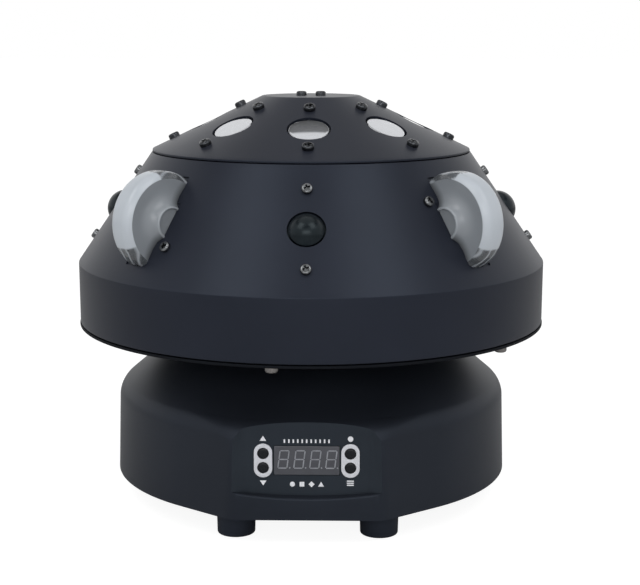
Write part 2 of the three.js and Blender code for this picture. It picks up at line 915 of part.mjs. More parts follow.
// A circuit board on four standoffs, with the named extra bodies soldered on.
function makeBoard(sizes, centreX, centreY, ground, extras) {
  const halfWidth = sizes.width / 2;
  const halfLength = sizes.length / 2;
  const underside = ground + sizes.standoff;
  const top = underside + sizes.thickness;
  const sheet = block(
    centreX - halfWidth,
    centreX + halfWidth,
    centreY - halfLength,
    centreY + halfLength,
    underside,
    top,
  );
  const legs = [-1, 1].flatMap((right) => [-1, 1].map((back) => drum(
    sizes.standoffRadius,
    ground,
    underside + sizes.thickness / 2,
    sides.tiny,
  ).translate(
    centreX + right * (halfWidth - sizes.standoffInset),
    centreY + back * (halfLength - sizes.standoffInset),
    0,
  )));
  return join(sheet, ...legs, ...extras(top));
}

const mainBoardX = base.radius - mainBoard.rimGap - mainBoard.width / 2;
const mainParts = (top) => {
  const half = mainBoard.chipSize / 2;
  const low = top - mainBoard.thickness / 2;
  const chip = block(
    mainBoardX - half,
    mainBoardX + half,
    -half,
    half,
    low,
    top + mainBoard.chipHeight,
  );
  const cans = [-1, 1].map((end) => drum(
    mainBoard.capacitorRadius,
    low,
    top + mainBoard.capacitorHeight,
    sides.tiny,
  ).translate(mainBoardX, (end * mainBoard.length) / 3, 0));
  return [chip, ...cans];
};
addPiece(light, 'main_board', makeBoard(mainBoard, mainBoardX, 0, level.plateTop, mainParts), 'board');

// Gear drive: motor, its bracket, pinion and the gear on the hub

const gearRadius = (gear.module * gear.teeth) / 2;
const pinionRadius = (gear.module * gear.pinionTeeth) / 2;
const motorY = gearRadius + pinionRadius + gear.centreSlack;
const hubTop = level.headFloor;
const hubShoulder = bearingTop + fit.seat;
const hubBottom = hubShoulder - hub.shaftLength;
const gearTop = bearingBottom - fit.seat;
const nutTop = hubBottom + nut.thickness;
const gearLow = nutTop + fit.seat;
const pinionLow = gearLow - pinion.extraWidth / 2;
const motorTop = pinionLow - motor.headroom;

function gearOutline(teeth, turn) {
  const pitchRadius = (gear.module * teeth) / 2;
  const tip = pitchRadius + gear.module * gear.addendumShare;
  const root = pitchRadius - gear.module * gear.dedendumShare;
  const flank = Math.tan(degrees(gear.pressureAngle));
  const halfWidth = (Math.PI * gear.module) / 4 - gear.backlash / 2;
  const tipHalf = (halfWidth - (tip - pitchRadius) * flank) / tip;
  const rootHalf = (halfWidth + (pitchRadius - root) * flank) / root;
  return around(teeth, turn).flatMap((middle) => [
    [root, middle - rootHalf],
    [tip, middle - tipHalf],
    [tip, middle + tipHalf],
    [root, middle + rootHalf],
  ].map(([radius, angle]) => [radius * Math.cos(angle), radius * Math.sin(angle)]));
}

// A sheet-metal bridge: a flat top on two legs with feet turned outwards.
function makeBridge(halfSpan, rise, halfDepth) {
  const outerHalf = halfSpan + bracket.sheet;
  const top = rise + bracket.sheet;
  const path = [
    [outerHalf + bracket.foot, bracket.sheet],
    [outerHalf, bracket.sheet],
    [outerHalf, top],
    [-outerHalf, top],
    [-outerHalf, bracket.sheet],
    [-outerHalf - bracket.foot, bracket.sheet],
  ];
  return prism(thicken(path, bracket.sheet), -halfDepth, halfDepth).rotateX(Math.PI / 2);
}

function makeMotor() {
  const half = motor.size / 2;
  const can = prism(rectangle(half, half, motor.corner), level.plateTop, motorTop);
  const pilot = drum(motor.pilotRadius, motorTop - fit.overrun, motorTop + motor.pilotHeight, sides.drum);
  const bore = drum(
    pinion.shaftRadius + fit.seat,
    motorTop - pinion.shaftDepth - fit.seat,
    motorTop + motor.pilotHeight + fit.overrun,
    sides.tiny,
  );
  return cut(join(can, pilot), bore).translate(0, motorY, 0);
}

addPiece(light, 'spin_motor', makeMotor(), 'steel');

const mountGap = motor.size / 2 + fit.seat;
const mountRise = motorTop - level.plateTop + fit.seat;
const motorHole = drum(
  motor.pilotRadius + fit.seat,
  mountRise - fit.overrun,
  mountRise + bracket.sheet + fit.overrun,
  sides.drum,
);
const motorMount = cut(makeBridge(mountGap, mountRise, motor.size / 2), motorHole);
addPiece(light, 'motor_mount', motorMount, 'steel').position.set(0, motorY, level.plateTop);

addPiece(light, 'head_hub', revolve([
  [hub.boreRadius, hubBottom],
  [hub.shaftRadius, hubBottom],
  [hub.shaftRadius, hubShoulder],
  [hub.neckFootRadius, hubShoulder],
  [hub.neckTopRadius, hubTop - hub.flangeThickness],
  [hub.flangeRadius, hubTop - hub.flangeThickness],
  [hub.flangeRadius, hubTop],
  [hub.boreRadius, hubTop],
], sides.ring), 'black');

const ringBore = hub.shaftRadius + fit.seat;
const innerRace = ringBore + bearing.innerRing;
const outerRace = bearing.radius - bearing.outerRing;
const shieldRadius = innerRace + bearing.shieldGap;

addPiece(light, 'bearing_inner_ring', tube(ringBore, innerRace, bearingBottom, bearingTop, sides.ring), 'steel');
addPiece(light, 'bearing_outer_ring', revolve([
  [bearing.radius, bearingBottom],
  [bearing.radius, bearingTop],
  [shieldRadius, bearingTop],
  [shieldRadius, bearingTop - bearing.shield],
  [outerRace, bearingTop - bearing.shield],
  [outerRace, bearingBottom],
], sides.ring), 'steel');

const gearBore = drum(ringBore, gearLow - fit.overrun, gearTop + fit.overrun, sides.ring);
const gearDisc = prism(gearOutline(gear.teeth, 0), gearLow, gearLow + gear.width);
const gearBoss = drum(gear.bossRadius, gearLow, gearTop, sides.ring);
addPiece(light, 'driven_gear', cut(join(gearDisc, gearBoss), gearBore), 'nylon');

const nutBody = drum(nut.radius, hubBottom, nutTop, nut.flats);
const nutBore = drum(ringBore, hubBottom - fit.overrun, gearLow + fit.overrun, sides.ring);
addPiece(light, 'retaining_nut', cut(nutBody, nutBore), 'steel');

const pinionHigh = gearLow + gear.width + pinion.extraWidth / 2;
const pinionBoss = Math.min(pinion.bossLength, pinionLow - motorTop - motor.pilotHeight - fit.seat);
const pinionShape = join(
  prism(gearOutline(gear.pinionTeeth, Math.PI / gear.pinionTeeth), pinionLow, pinionHigh),
  drum(pinion.bossRadius, pinionLow - pinionBoss, pinionHigh, sides.small),
  drum(pinion.shaftRadius, motorTop - pinion.shaftDepth, pinionHigh, sides.tiny),
);
addPiece(light, 'drive_pinion', pinionShape, 'nylon').position.set(0, motorY, 0);

// Slip ring that carries the wires into the turning head

const statorTop = hubBottom - slipRing.headroom;
const slipBase = statorTop - slipRing.height;
const slipRise = slipBase - bracket.sheet - level.plateTop;
const slipBore = slipRing.rotorRadius + fit.seam;
const boreFloor = statorTop - slipRing.boreDepth;
const rotorLow = hubBottom + slipRing.rotorRise;

const slipBridge = makeBridge(bracket.slipSpan / 2, slipRise, bracket.slipDepth / 2);
addPiece(light, 'slip_ring_bracket', slipBridge, 'steel').position.set(0, 0, level.plateTop);
addPiece(light, 'slip_ring_stator', revolve([
  [0, slipBase],
  [slipRing.flangeRadius, slipBase],
  [slipRing.flangeRadius, slipBase + slipRing.flangeThickness],
  [slipRing.radius, slipBase + slipRing.flangeThickness],
  [slipRing.radius, statorTop],
  [slipBore, statorTop],
  [slipBore, boreFloor],
  [0, boreFloor],
], sides.drum), 'black');
addPiece(light, 'slip_ring_rotor', revolve([
  [0, boreFloor + fit.seat],
  [slipRing.rotorRadius, boreFloor + fit.seat],
  [slipRing.rotorRadius, rotorLow],
  [hub.boreRadius - fit.seat, rotorLow],
  [hub.boreRadius - fit.seat, rotorLow + slipRing.rotorCollar],
  [slipRing.rotorRadius, rotorLow + slipRing.rotorCollar],
  [slipRing.rotorRadius, rotorLow + slipRing.rotorCollar + slipRing.rotorStem],
  [0, rotorLow + slipRing.rotorCollar + slipRing.rotorStem],
], sides.ring), 'pale');

// Head floor: a pan with an upstand inside the skirt

const skirtRadius = head.radius - head.skirtTaper;
const upstandRadius = skirtRadius - head.wall - fit.seat;
const floorTop = level.headFloor + head.floorThickness;
addPiece(light, 'head_floor_plate', revolve([
  [head.wireHoleRadius, level.headFloor],
  [head.radius + head.floorLip, level.headFloor],
  [head.radius + head.floorLip, floorTop],
  [upstandRadius, floorTop],
  [upstandRadius, floorTop + head.upstandHeight],
  [upstandRadius - head.upstandWall, floorTop + head.upstandHeight],
  [upstandRadius - head.upstandWall, floorTop],
  [head.wireHoleRadius, floorTop],
], sides.shell), 'floor');

// Head housing: skirt, steep cone and a flange that carries the cap

const flangeTop = level.seam - fit.seam;
const flangeRadius = head.coneTopRadius - head.flangeReach;

// A half wheel's side is dished: a curve falls from the hub's edge and climbs again to the rim.
function dishPoint(share) {
  const blend = (start, pull, end) => (
    start * (1 - share) ** 2 + 2 * pull * share * (1 - share) + end * share ** 2
  );
  return [
    blend(fan.bossOuterRadius, fan.dishRadius, fan.shoulderRadius),
    blend(fan.bossHalf, fan.dishHalf, fan.rimHalf),
  ];
}

// The slot for a fan lens is a cross: the wheel's rim one way and its hub the other. The cross's
// short bar ends where the dish is no wider than the rim.
function fanSlot() {
  const rimHalfWidth = fan.rimHalf + fit.seat;
  const rimHalfLength = fan.radius + fit.seat;
  const bossHalfWidth = fan.bossHalf + fit.seat;
  const asWideAsRim = (fan.bossHalf - fan.rimHalf) / (fan.bossHalf - 2 * fan.dishHalf + fan.rimHalf);
  const bossHalfLength = dishPoint(asWideAsRim)[0] + fit.seat;
  const depth = fan.sinkDepth;
  return join(
    block(-rimHalfWidth, rimHalfWidth, -rimHalfLength, rimHalfLength, -depth, depth),
    block(-bossHalfWidth, bossHalfWidth, -bossHalfLength, bossHalfLength, -depth, depth),
  );
}

const placed = (make, side, azimuth) => make().applyMatrix4(seatMatrix(side, azimuth));
const domeAzimuths = around(dome.count);
const fanAzimuths = around(fan.count, Math.PI / fan.count);
const beamAzimuths = around(beam.count);

function makeHeadHousing() {
  const seamRadius = head.coneTopRadius + fit.seam / Math.tan(steepSide.angle);
  const path = [
    [skirtRadius, level.skirt],
    [head.radius, level.fold],
    [seamRadius, flangeTop],
    [flangeRadius, flangeTop],
  ];
  const shell = revolve(thicken(path, head.wall), sides.shell);
  const domeHole = () => drum(dome.radius + dome.gap, -dome.cupDepth, dome.cupDepth, sides.drum);
  const holes = domeAzimuths.map((azimuth) => placed(domeHole, steepSide, azimuth));
  const slotTurned = (azimuth) => {
    const mesh = fanSlot().getMesh();
    const geometry = new THREE.BufferGeometry();
    geometry.setAttribute('position', new THREE.BufferAttribute(mesh.vertProperties, 3));
    geometry.setIndex(new THREE.BufferAttribute(mesh.triVerts, 1));
    return geometry.applyMatrix4(seatMatrix(steepSide, azimuth));
  };
  return cut(shell, ...holes, ...fanAzimuths.map(slotTurned));
}

addPiece(light, 'head_housing', makeHeadHousing(), 'shell');

// Cap with its row of windows

function makeCap() {
  const path = [
    [capRadius, level.seam],
    [capRadius, level.seam + cap.rimHeight],
    [cap.discRadius, level.crown],
    [0, level.crown],
  ];
  const inner = offsetPath(path, head.wall);
  const shell = revolve([...path].reverse().concat(inner), sides.shell);
  const spigotRadius = flangeRadius - fit.seat;
  const spigotInner = spigotRadius - cap.spigotWall;
  const landRadius = capRadius - cap.landInset;
  const midWall = (radius) => {
    const climb = (capRadius - radius) * Math.tan(capSide.angle);
    return level.seam + cap.rimHeight + climb - head.wall / 2;
  };
  const spigot = revolve([
    [spigotInner, level.seam - cap.spigotDepth],
    [spigotRadius, level.seam - cap.spigotDepth],
    [spigotRadius, flangeTop + fit.seat],
    [landRadius, flangeTop + fit.seat],
    [landRadius, midWall(landRadius)],
    [spigotInner, midWall(spigotInner)],
  ], sides.shell);
  const windowHole = () => drum(beam.holeRadius, -beam.bowlDepth, beam.bowlDepth, sides.drum);
  return cut(join(shell, spigot), ...beamAzimuths.map((azimuth) => placed(windowHole, capSide, azimuth)));
}

addPiece(light, 'top_cap', makeCap(), 'shell');

// Beam lenses and the tray of silvered bowls behind them

const beamFlangeTop = -head.wall - fallAway(capSide, beam.flangeRadius, beam.flangeRadius) - fit.seat;
const beamFlangeLow = beamFlangeTop - beam.flangeThickness;

function makeBeamLens() {
  const profile = [[0, beamFlangeLow], [beam.flangeRadius, beamFlangeLow], [beam.flangeRadius, beamFlangeTop]];
  const apex = -beam.crownDrop;
  for (let i = 0; i <= beam.crownSteps; i += 1) {
    const angle = (Math.PI / 2) * (i / beam.crownSteps);
    const radius = beam.lensRadius * Math.cos(angle);
    profile.push([i === beam.crownSteps ? 0 : radius, apex - beam.crown * (1 - Math.sin(angle))]);
  }
  profile.splice(3, 0, [beam.lensRadius, beamFlangeTop]);
  return revolve(profile, sides.small);
}

beamAzimuths.forEach((azimuth, i) => {
  addPiece(seatGroup(capSide, azimuth), `beam_lens_${i + 1}`, makeBeamLens(), 'clear');
});

function makeBeamTray() {
  const top = beamFlangeLow - fit.seat;
  const low = top - beam.trayThickness;
  const halfSlant = beam.bowlRadius + beam.bowlWall + beam.trayMargin;
  const onSlope = (up, out) => [
    capSide.radius - up * Math.cos(capSide.angle) + out * Math.sin(capSide.angle),
    capSide.height + up * Math.sin(capSide.angle) + out * Math.cos(capSide.angle),
  ];
  const plate = revolve([
    onSlope(-halfSlant, low),
    onSlope(-halfSlant, top),
    onSlope(halfSlant, top),
    onSlope(halfSlant, low),
  ], sides.ring);
  const floor = low - beam.bowlDepth;
  const cup = () => drum(
    beam.bowlFloorRadius + beam.bowlWall,
    floor - beam.bowlWall,
    low,
    sides.tiny,
    beam.bowlRadius + beam.bowlWall,
  );
  const bowl = () => drum(beam.bowlFloorRadius, floor, top + fit.overrun, sides.tiny, beam.bowlRadius);
  const atEach = (make) => beamAzimuths.map((azimuth) => placed(make, capSide, azimuth));
  return cut(join(plate, ...atEach(cup)), ...atEach(bowl));
}

addPiece(light, 'beam_lamp_tray', makeBeamTray(), 'mirror');

// Dome lenses, each in a strapped lamp cup

const domeFlangeTop = -head.wall - fallAway(steepSide, dome.flangeRadius, dome.flangeRadius) - fit.seat;
const domeFlangeLow = domeFlangeTop - dome.flangeThickness;

function makeDomeLens() {
  const ball = (dome.radius ** 2 + dome.proud ** 2) / (2 * dome.proud);
  const start = Math.asin((ball - dome.proud) / ball);
  const profile = [[0, domeFlangeLow], [dome.flangeRadius, domeFlangeLow], [dome.flangeRadius, domeFlangeTop]];
  profile.push([dome.radius, domeFlangeTop]);
  for (let i = 0; i <= dome.domeSteps; i += 1) {
    const angle = start + ((Math.PI / 2 - start) * i) / dome.domeSteps;
    const radius = i === dome.domeSteps ? 0 : ball * Math.cos(angle);
    profile.push([radius, dome.proud - ball + ball * Math.sin(angle)]);
  }
  return revolve(profile, sides.drum);
}

function makeDomeLamp() {
  const strapTop = -head.wall - fallAway(steepSide, dome.strapHalfWidth, dome.strapHalfLength) - fit.seat;
  const strapLow = strapTop - dome.strapThickness;
  const cupInner = dome.flangeRadius + fit.seat;
  const cupOuter = cupInner + dome.cupWall;
  const cupTop = -head.wall - fallAway(steepSide, cupOuter, cupOuter) - fit.seat;
  const cupLow = cupTop - dome.cupDepth;
  const strap = block(
    -dome.strapHalfWidth,
    dome.strapHalfWidth,
    -dome.strapHalfLength,
    dome.strapHalfLength,
    strapLow,
    strapTop,
  );
  const floor = cupLow + dome.cupWall;
  const cup = revolve([
    [0, cupLow],
    [dome.chipRadius + dome.cupWall, cupLow],
    [cupOuter, domeFlangeLow - dome.cupWall],
    [cupOuter, cupTop],
    [0, cupTop],
  ], sides.drum);
  const hollow = revolve([
    [0, floor + dome.chipHeight],
    [dome.chipRadius, floor + dome.chipHeight],
    [dome.chipRadius, floor],
    [cupInner - dome.cupWall, domeFlangeLow - fit.seat],
    [cupInner, domeFlangeLow - fit.seat],
    [cupInner, strapTop + fit.overrun],
    [0, strapTop + fit.overrun],
  ], sides.drum);
  return cut(join(strap, cup), hollow);
}

domeAzimuths.forEach((azimuth, i) => {
  const seat = seatGroup(steepSide, azimuth);
  addPiece(seat, `dome_lens_${i + 1}`, makeDomeLens(), 'dark');
  addPiece(seat, `dome_lamp_${i + 1}`, makeDomeLamp(), 'black');
});

// Fan lenses and the finned lamp plates that hold them

const fanFootTop = -head.wall - fallAway(steepSide, fan.footHalfWidth, fan.radius) - fit.seat;
const fanFootLow = fanFootTop - fan.footThickness;

function makeFanLens() {
  const half = [
    [0, fan.bossHalf - fan.bossRecess],
    [fan.bossInnerRadius, fan.bossHalf - fan.bossRecess],
    [fan.bossInnerRadius, fan.bossHalf],
  ];
  for (let i = 0; i < fan.dishSteps; i += 1) half.push(dishPoint(i / fan.dishSteps));
  for (let i = 0; i <= fan.crestSteps; i += 1) {
    const across = 1 - i / fan.crestSteps;
    half.push([fan.radius - (fan.radius - fan.shoulderRadius) * across ** 2, fan.rimHalf * across]);
  }
  const mirrored = half.slice(0, -1).reverse().map(([radius, across]) => [radius, -across]);
  const wheel = revolve([...half, ...mirrored], fan.sides).rotateY(Math.PI / 2).translate(0, 0, -fan.sink);
  const reach = fan.radius + fit.overrun;
  const aboveFoot = block(-reach, reach, -reach, reach, fanFootLow, reach);
  const footLength = fan.radius + fan.footEdge;
  const foot = block(-fan.footHalfWidth, fan.footHalfWidth, -footLength, footLength, fanFootLow, fanFootTop);
  const pocketTop = fanFootLow + fan.ledPocketDepth;
  const pocket = drum(fan.ledPocketRadius, fanFootLow - fit.overrun, pocketTop, sides.tiny);
  return cut(join(common(wheel, aboveFoot), foot), pocket);
}

function makeFanLamp() {
  const edgeFall = fallAway(steepSide, fan.plateHalfWidth, fan.plateHalfLength);
  const top = Math.min(fanFootLow, -head.wall - edgeFall) - fit.seat;
  const low = top - fan.plateThickness;
  const plate = block(
    -fan.plateHalfWidth,
    fan.plateHalfWidth,
    -fan.plateHalfLength,
    fan.plateHalfLength,
    low,
    top,
  );
  const half = fan.sinkSize / 2;
  const sink = block(-half, half, -half, half, low - fan.sinkDepth, low + fan.plateThickness / 2);
  const pitch = fan.sinkSize / (fan.sinkSlotCount + 1);
  const grooves = Array.from({ length: fan.sinkSlotCount }, (_, i) => {
    const x = (i - (fan.sinkSlotCount - 1) / 2) * pitch;
    const slotTop = low - fan.sinkDepth + fan.sinkSlotDepth;
    return block(
      x - fan.sinkSlot / 2,
      x + fan.sinkSlot / 2,
      -half - fit.overrun,
      half + fit.overrun,
      low - fan.sinkDepth - fit.overrun,
      slotTop,
    );
  });
  const chip = drum(fan.chipRadius, top - fan.plateThickness / 2, fanFootLow + fan.chipRadius / 2, sides.tiny);
  return join(cut(join(plate, sink), ...grooves), chip);
}

fanAzimuths.forEach((azimuth, i) => {
  const seat = seatGroup(steepSide, azimuth);
  addPiece(seat, `fan_lens_${i + 1}`, makeFanLens(), 'clear');
  addPiece(seat, `fan_lamp_${i + 1}`, makeFanLamp(), 'aluminium');
});

// Lamp driver board on the head floor

const driverY = head.radius - driverBoard.rimInset;
const driverParts = (top) => [-1, 0, 1].map((place) => {
  const half = driverBoard.moduleSize / 2;
  const x = place * driverBoard.moduleSpread;
  const low = top - driverBoard.thickness / 2;
  return block(x - half, x + half, driverY - half, driverY + half, low, top + driverBoard.moduleHeight);
});
addPiece(light, 'driver_board', makeBoard(driverBoard, 0, driverY, floorTop, driverParts), 'board');

export default light;
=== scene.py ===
# LED party light: its finishes, its fine shapes, the studio and the camera.
# Sizes are in millimetres and become metres when a mesh is made, and angles in the dictionaries are
# in degrees. Z is up, and the front looks towards -Y.
import json
import math

import bmesh
import bpy
from mathutils import Matrix, Vector


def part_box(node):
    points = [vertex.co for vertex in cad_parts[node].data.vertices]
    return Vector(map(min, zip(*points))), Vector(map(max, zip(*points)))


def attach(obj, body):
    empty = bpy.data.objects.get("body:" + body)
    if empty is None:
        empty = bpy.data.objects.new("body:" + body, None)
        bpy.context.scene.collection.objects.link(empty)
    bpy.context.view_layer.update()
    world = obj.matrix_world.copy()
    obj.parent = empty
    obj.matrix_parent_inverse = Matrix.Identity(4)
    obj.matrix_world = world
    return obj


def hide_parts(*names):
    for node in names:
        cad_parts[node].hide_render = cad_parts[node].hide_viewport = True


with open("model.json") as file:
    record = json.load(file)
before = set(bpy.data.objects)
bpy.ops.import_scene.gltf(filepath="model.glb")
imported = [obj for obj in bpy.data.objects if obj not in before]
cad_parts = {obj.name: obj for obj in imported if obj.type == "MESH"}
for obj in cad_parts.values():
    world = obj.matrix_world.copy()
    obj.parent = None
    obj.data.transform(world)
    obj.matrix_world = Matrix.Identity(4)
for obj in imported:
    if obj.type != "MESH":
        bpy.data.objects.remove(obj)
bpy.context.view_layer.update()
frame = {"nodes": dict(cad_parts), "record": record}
scene = bpy.context.scene
mm = 0.001
clearance = 0.3  # the gap between neighbouring pieces
overlap = 1  # how far an added part reaches into its neighbour
overshoot = 3  # how far a cutter reaches past what it cuts
wellOut = 150  # the far end of a cutter that leaves through the base's wall


def cadLevel(node, end):
    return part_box(node)[end].z / mm  # end 0 is a node's lowest point, 1 its highest


def intoScene(name, data):
    holder = bpy.data.objects.new(name, data)
    scene.collection.objects.link(holder)
    return holder


# Feeds a node's inputs: a socket is linked, and anything else becomes the input's own value.
def feed(tree, node, inputs):
    for name, given in dict(inputs).items():
        if isinstance(given, bpy.types.NodeSocket):
            tree.links.new(given, node.inputs[name])
        else:
            node.inputs[name].default_value = given


def addNode(tree, kind, inputs=(), **settings):
    node = tree.nodes.new(kind)
    for key, value in settings.items():
        setattr(node, key, value)
    feed(tree, node, inputs)
    return node


def grey(tone):
    return (tone, tone, tone, 1)


# Camera and studio

camera = {
    "distance": 927.5, "height": 298.7, "azimuth": 1.2, "pitch": 10.38,
    "lens": 80.7, "sensor": 36.0, "shiftX": 0.0139, "clipFrom": 50, "clipTo": 60000,
}


def addCamera():
    data = bpy.data.cameras.new("photoCamera")
    data.lens = camera["lens"]
    data.sensor_width = camera["sensor"]
    data.shift_x = camera["shiftX"]
    data.clip_start = camera["clipFrom"] * mm
    data.clip_end = camera["clipTo"] * mm
    azimuth = math.radians(camera["azimuth"])
    reach = camera["distance"] * mm
    holder = intoScene("photoCamera", data)
    holder.location = (reach * math.sin(azimuth), -reach * math.cos(azimuth), camera["height"] * mm)
    holder.rotation_euler = (math.radians(90 - camera["pitch"]), 0, azimuth)
    scene.camera = holder


# each lamp: centre in metres, width and height in metres, power in watts
lamps = {
    "leftBox": ((-0.8, -0.8, 1.5), 0.8, 0.8, 6),
    "rightBox": ((0.8, -0.8, 1.5), 0.8, 0.8, 6),
    "frontBox": ((0.0, -1.8, 0.8), 1.4, 0.5, 6.5),
}
lampTarget = (0, 0, 0.15)  # in metres


def addLamps():
    for name, (centre, width, height, power) in lamps.items():
        data = bpy.data.lights.new(name, "AREA")
        data.shape = "RECTANGLE"
        data.size = width
        data.size_y = height
        data.energy = power
        holder = intoScene(name, data)
        holder.location = centre
        holder.rotation_euler = (Vector(lampTarget) - Vector(centre)).to_track_quat("-Z", "Y").to_euler()


# The world: what soft surfaces get, then what gloss and glass see, from the ground up to the ceiling.
# Each ceiling pair is an elevation and its grey. The floor is pale paper that keeps the shadow.
studio = {
    "fill": 0.46, "backdrop": 1.0, "backdropTop": 42, "ceilingLow": (46, 0.06), "ceilingHigh": (55.9, 0.22),
    "canopyStart": 56.7, "floorHalf": 14.0, "floorPaper": 0.8, "floorGlow": 0.91, "floorTone": 0.28,
}


def addWorld():
    world = bpy.data.worlds.new("studioWorld")
    scene.world = world
    world.use_nodes = True
    tree = world.node_tree
    tree.nodes.clear()
    way = addNode(tree, "ShaderNodeTexCoord")
    axes = addNode(tree, "ShaderNodeSeparateXYZ", {0: way.outputs["Generated"]})
    room = addNode(tree, "ShaderNodeValToRGB", {"Fac": axes.outputs["Z"]})
    tones = room.color_ramp.elements
    for tone, angle in ((tones[0], studio["backdropTop"]), (tones[1], studio["canopyStart"])):
        tone.position = math.sin(math.radians(angle))
        tone.color = grey(studio["backdrop"])
    for angle, tone in (studio["ceilingLow"], studio["ceilingHigh"]):
        tones.new(math.sin(math.radians(angle))).color = grey(tone)
    rays = addNode(tree, "ShaderNodeLightPath").outputs
    sharp = addNode(tree, "ShaderNodeMath", {0: rays["Is Glossy Ray"], 1: rays["Is Transmission Ray"]},
                    operation="MAXIMUM")
    fill = addNode(tree, "ShaderNodeBackground", {"Color": grey(1), "Strength": studio["fill"]})
    seenInGloss = addNode(tree, "ShaderNodeBackground", {"Color": room.outputs["Color"]})
    shown = addNode(tree, "ShaderNodeBackground", {"Color": grey(1)})
    lit = addNode(tree, "ShaderNodeMixShader", {
        "Fac": sharp.outputs[0], 1: fill.outputs[0], 2: seenInGloss.outputs[0],
    })
    mix = addNode(tree, "ShaderNodeMixShader", {
        "Fac": rays["Is Camera Ray"], 1: lit.outputs[0], 2: shown.outputs[0],
    })
    addNode(tree, "ShaderNodeOutputWorld", {"Surface": mix.outputs[0]})


def addFloor():
    half = studio["floorHalf"]
    mesh = bpy.data.meshes.new("studioFloor")
    corners = [(-half, -half, 0), (half, -half, 0), (half, half, 0), (-half, half, 0)]
    mesh.from_pydata(corners, [], [(0, 1, 2, 3)])
    floor = intoScene("studioFloor", mesh)
    material = bpy.data.materials.new("paperFloor")
    material.use_nodes = True
    tree = material.node_tree
    tree.nodes.clear()
    paper = addNode(tree, "ShaderNodeBsdfDiffuse", {"Color": grey(studio["floorPaper"])})
    shade = addNode(tree, "ShaderNodeBsdfDiffuse", {"Color": grey(studio["floorTone"])})
    glow = addNode(tree, "ShaderNodeEmission", {"Strength": studio["floorGlow"]})
    seen = addNode(tree, "ShaderNodeAddShader", {0: shade.outputs[0], 1: glow.outputs[0]})
    rays = addNode(tree, "ShaderNodeLightPath").outputs
    mix = addNode(tree, "ShaderNodeMixShader", {
        "Fac": rays["Is Camera Ray"], 1: paper.outputs[0], 2: seen.outputs[0],
    })
    addNode(tree, "ShaderNodeOutputMaterial", {"Surface": mix.outputs[0]})
    mesh.materials.append(material)


addCamera()
addLamps()
addWorld()
addFloor()
scene.view_settings.view_transform = "Standard"
print("camera, lamps and floor are in place")


# Finishes: every one has its own tone drift and grain on Object coordinates

finishNoise = {"driftDetail": 4, "driftFrom": 0.3, "driftTo": 0.7, "grainDetail": 3, "leastRoughness": 0.01}
coatRoughness = 0.08
clearPlastic = {
    "roughness": 0.015, "drift": 0.02, "driftScale": 25, "grain": 0.01, "grainScale": 300, "bump": 0.02,
    "depth": 0.02,
}
clearIor = 1.49


def finish(name, colour, roughness, metallic=0.0, specular=0.5, sheenTint=(1, 1, 1), drift=0.12,
           driftScale=40, grain=0.06, grainScale=1800, bump=0.12, depth=0.04, coat=0.0):
    material = bpy.data.materials.new(name)
    material.use_nodes = True
    tree = material.node_tree
    place = addNode(tree, "ShaderNodeTexCoord").outputs["Object"]
    tone = addNode(tree, "ShaderNodeTexNoise", {
        "Vector": place, "Scale": driftScale, "Detail": finishNoise["driftDetail"],
    })
    ramp = addNode(tree, "ShaderNodeValToRGB", {"Fac": tone.outputs["Fac"]})
    dark, light = ramp.color_ramp.elements
    dark.position = finishNoise["driftFrom"]
    dark.color = (*(c * (1 - drift) for c in colour), 1)
    light.position = finishNoise["driftTo"]
    light.color = (*(min(c * (1 + drift), 1) for c in colour), 1)
    fine = addNode(tree, "ShaderNodeTexNoise", {
        "Vector": place, "Scale": grainScale, "Detail": finishNoise["grainDetail"],
    })
    spread = addNode(tree, "ShaderNodeMapRange", {
        "Value": fine.outputs["Fac"],
        "To Min": max(roughness - grain, finishNoise["leastRoughness"]),
        "To Max": min(roughness + grain, 1),
    })
    shader = tree.nodes["Principled BSDF"]
    feed(tree, shader, {
        "Base Color": ramp.outputs["Color"], "Roughness": spread.outputs["Result"], "Metallic": metallic,
        "Specular IOR Level": specular, "Specular Tint": (*sheenTint, 1),
        "Coat Weight": coat, "Coat Roughness": coatRoughness,
    })
    if bump > 0:
        raised = addNode(tree, "ShaderNodeBump", {
            "Height": fine.outputs["Fac"], "Strength": bump, "Distance": depth * mm,
        })
        feed(tree, shader, {"Normal": raised.outputs["Normal"]})
    return material


# Clear plastic over a second look: milky where it scatters or where its attributes paint light on it, or
# silvered behind. The second look has one share everywhere, or its share and its tone follow the piece's
# own attributes.
def clearFinish(name, tint, backColour, backRoughness, backMetallic=0.0, share=0.0, frostedWithPaintedLight=False):
    material = finish(name, tint, **clearPlastic)
    tree = material.node_tree
    glass = tree.nodes["Principled BSDF"]
    feed(tree, glass, {"Transmission Weight": 1.0, "IOR": clearIor})
    colour = (*backColour, 1)
    if frostedWithPaintedLight:
        share = addNode(tree, "ShaderNodeAttribute", attribute_name="frostAndPaintedLight").outputs["Fac"]
        milkAndPaintedLight = addNode(tree, "ShaderNodeAttribute", attribute_name="milkAndPaintedLight")
        tones = addNode(tree, "ShaderNodeValToRGB", {"Fac": milkAndPaintedLight.outputs["Fac"]})
        tones.color_ramp.elements[0].color = grey(0)
        tones.color_ramp.elements[1].color = colour
        colour = tones.outputs["Color"]
    back = addNode(tree, "ShaderNodeBsdfPrincipled", {
        "Base Color": colour, "Roughness": backRoughness, "Metallic": backMetallic,
    })
    mix = addNode(tree, "ShaderNodeMixShader", {"Fac": share, 1: glass.outputs[0], 2: back.outputs[0]})
    feed(tree, tree.nodes["Material Output"], {"Surface": mix.outputs[0]})
    return material


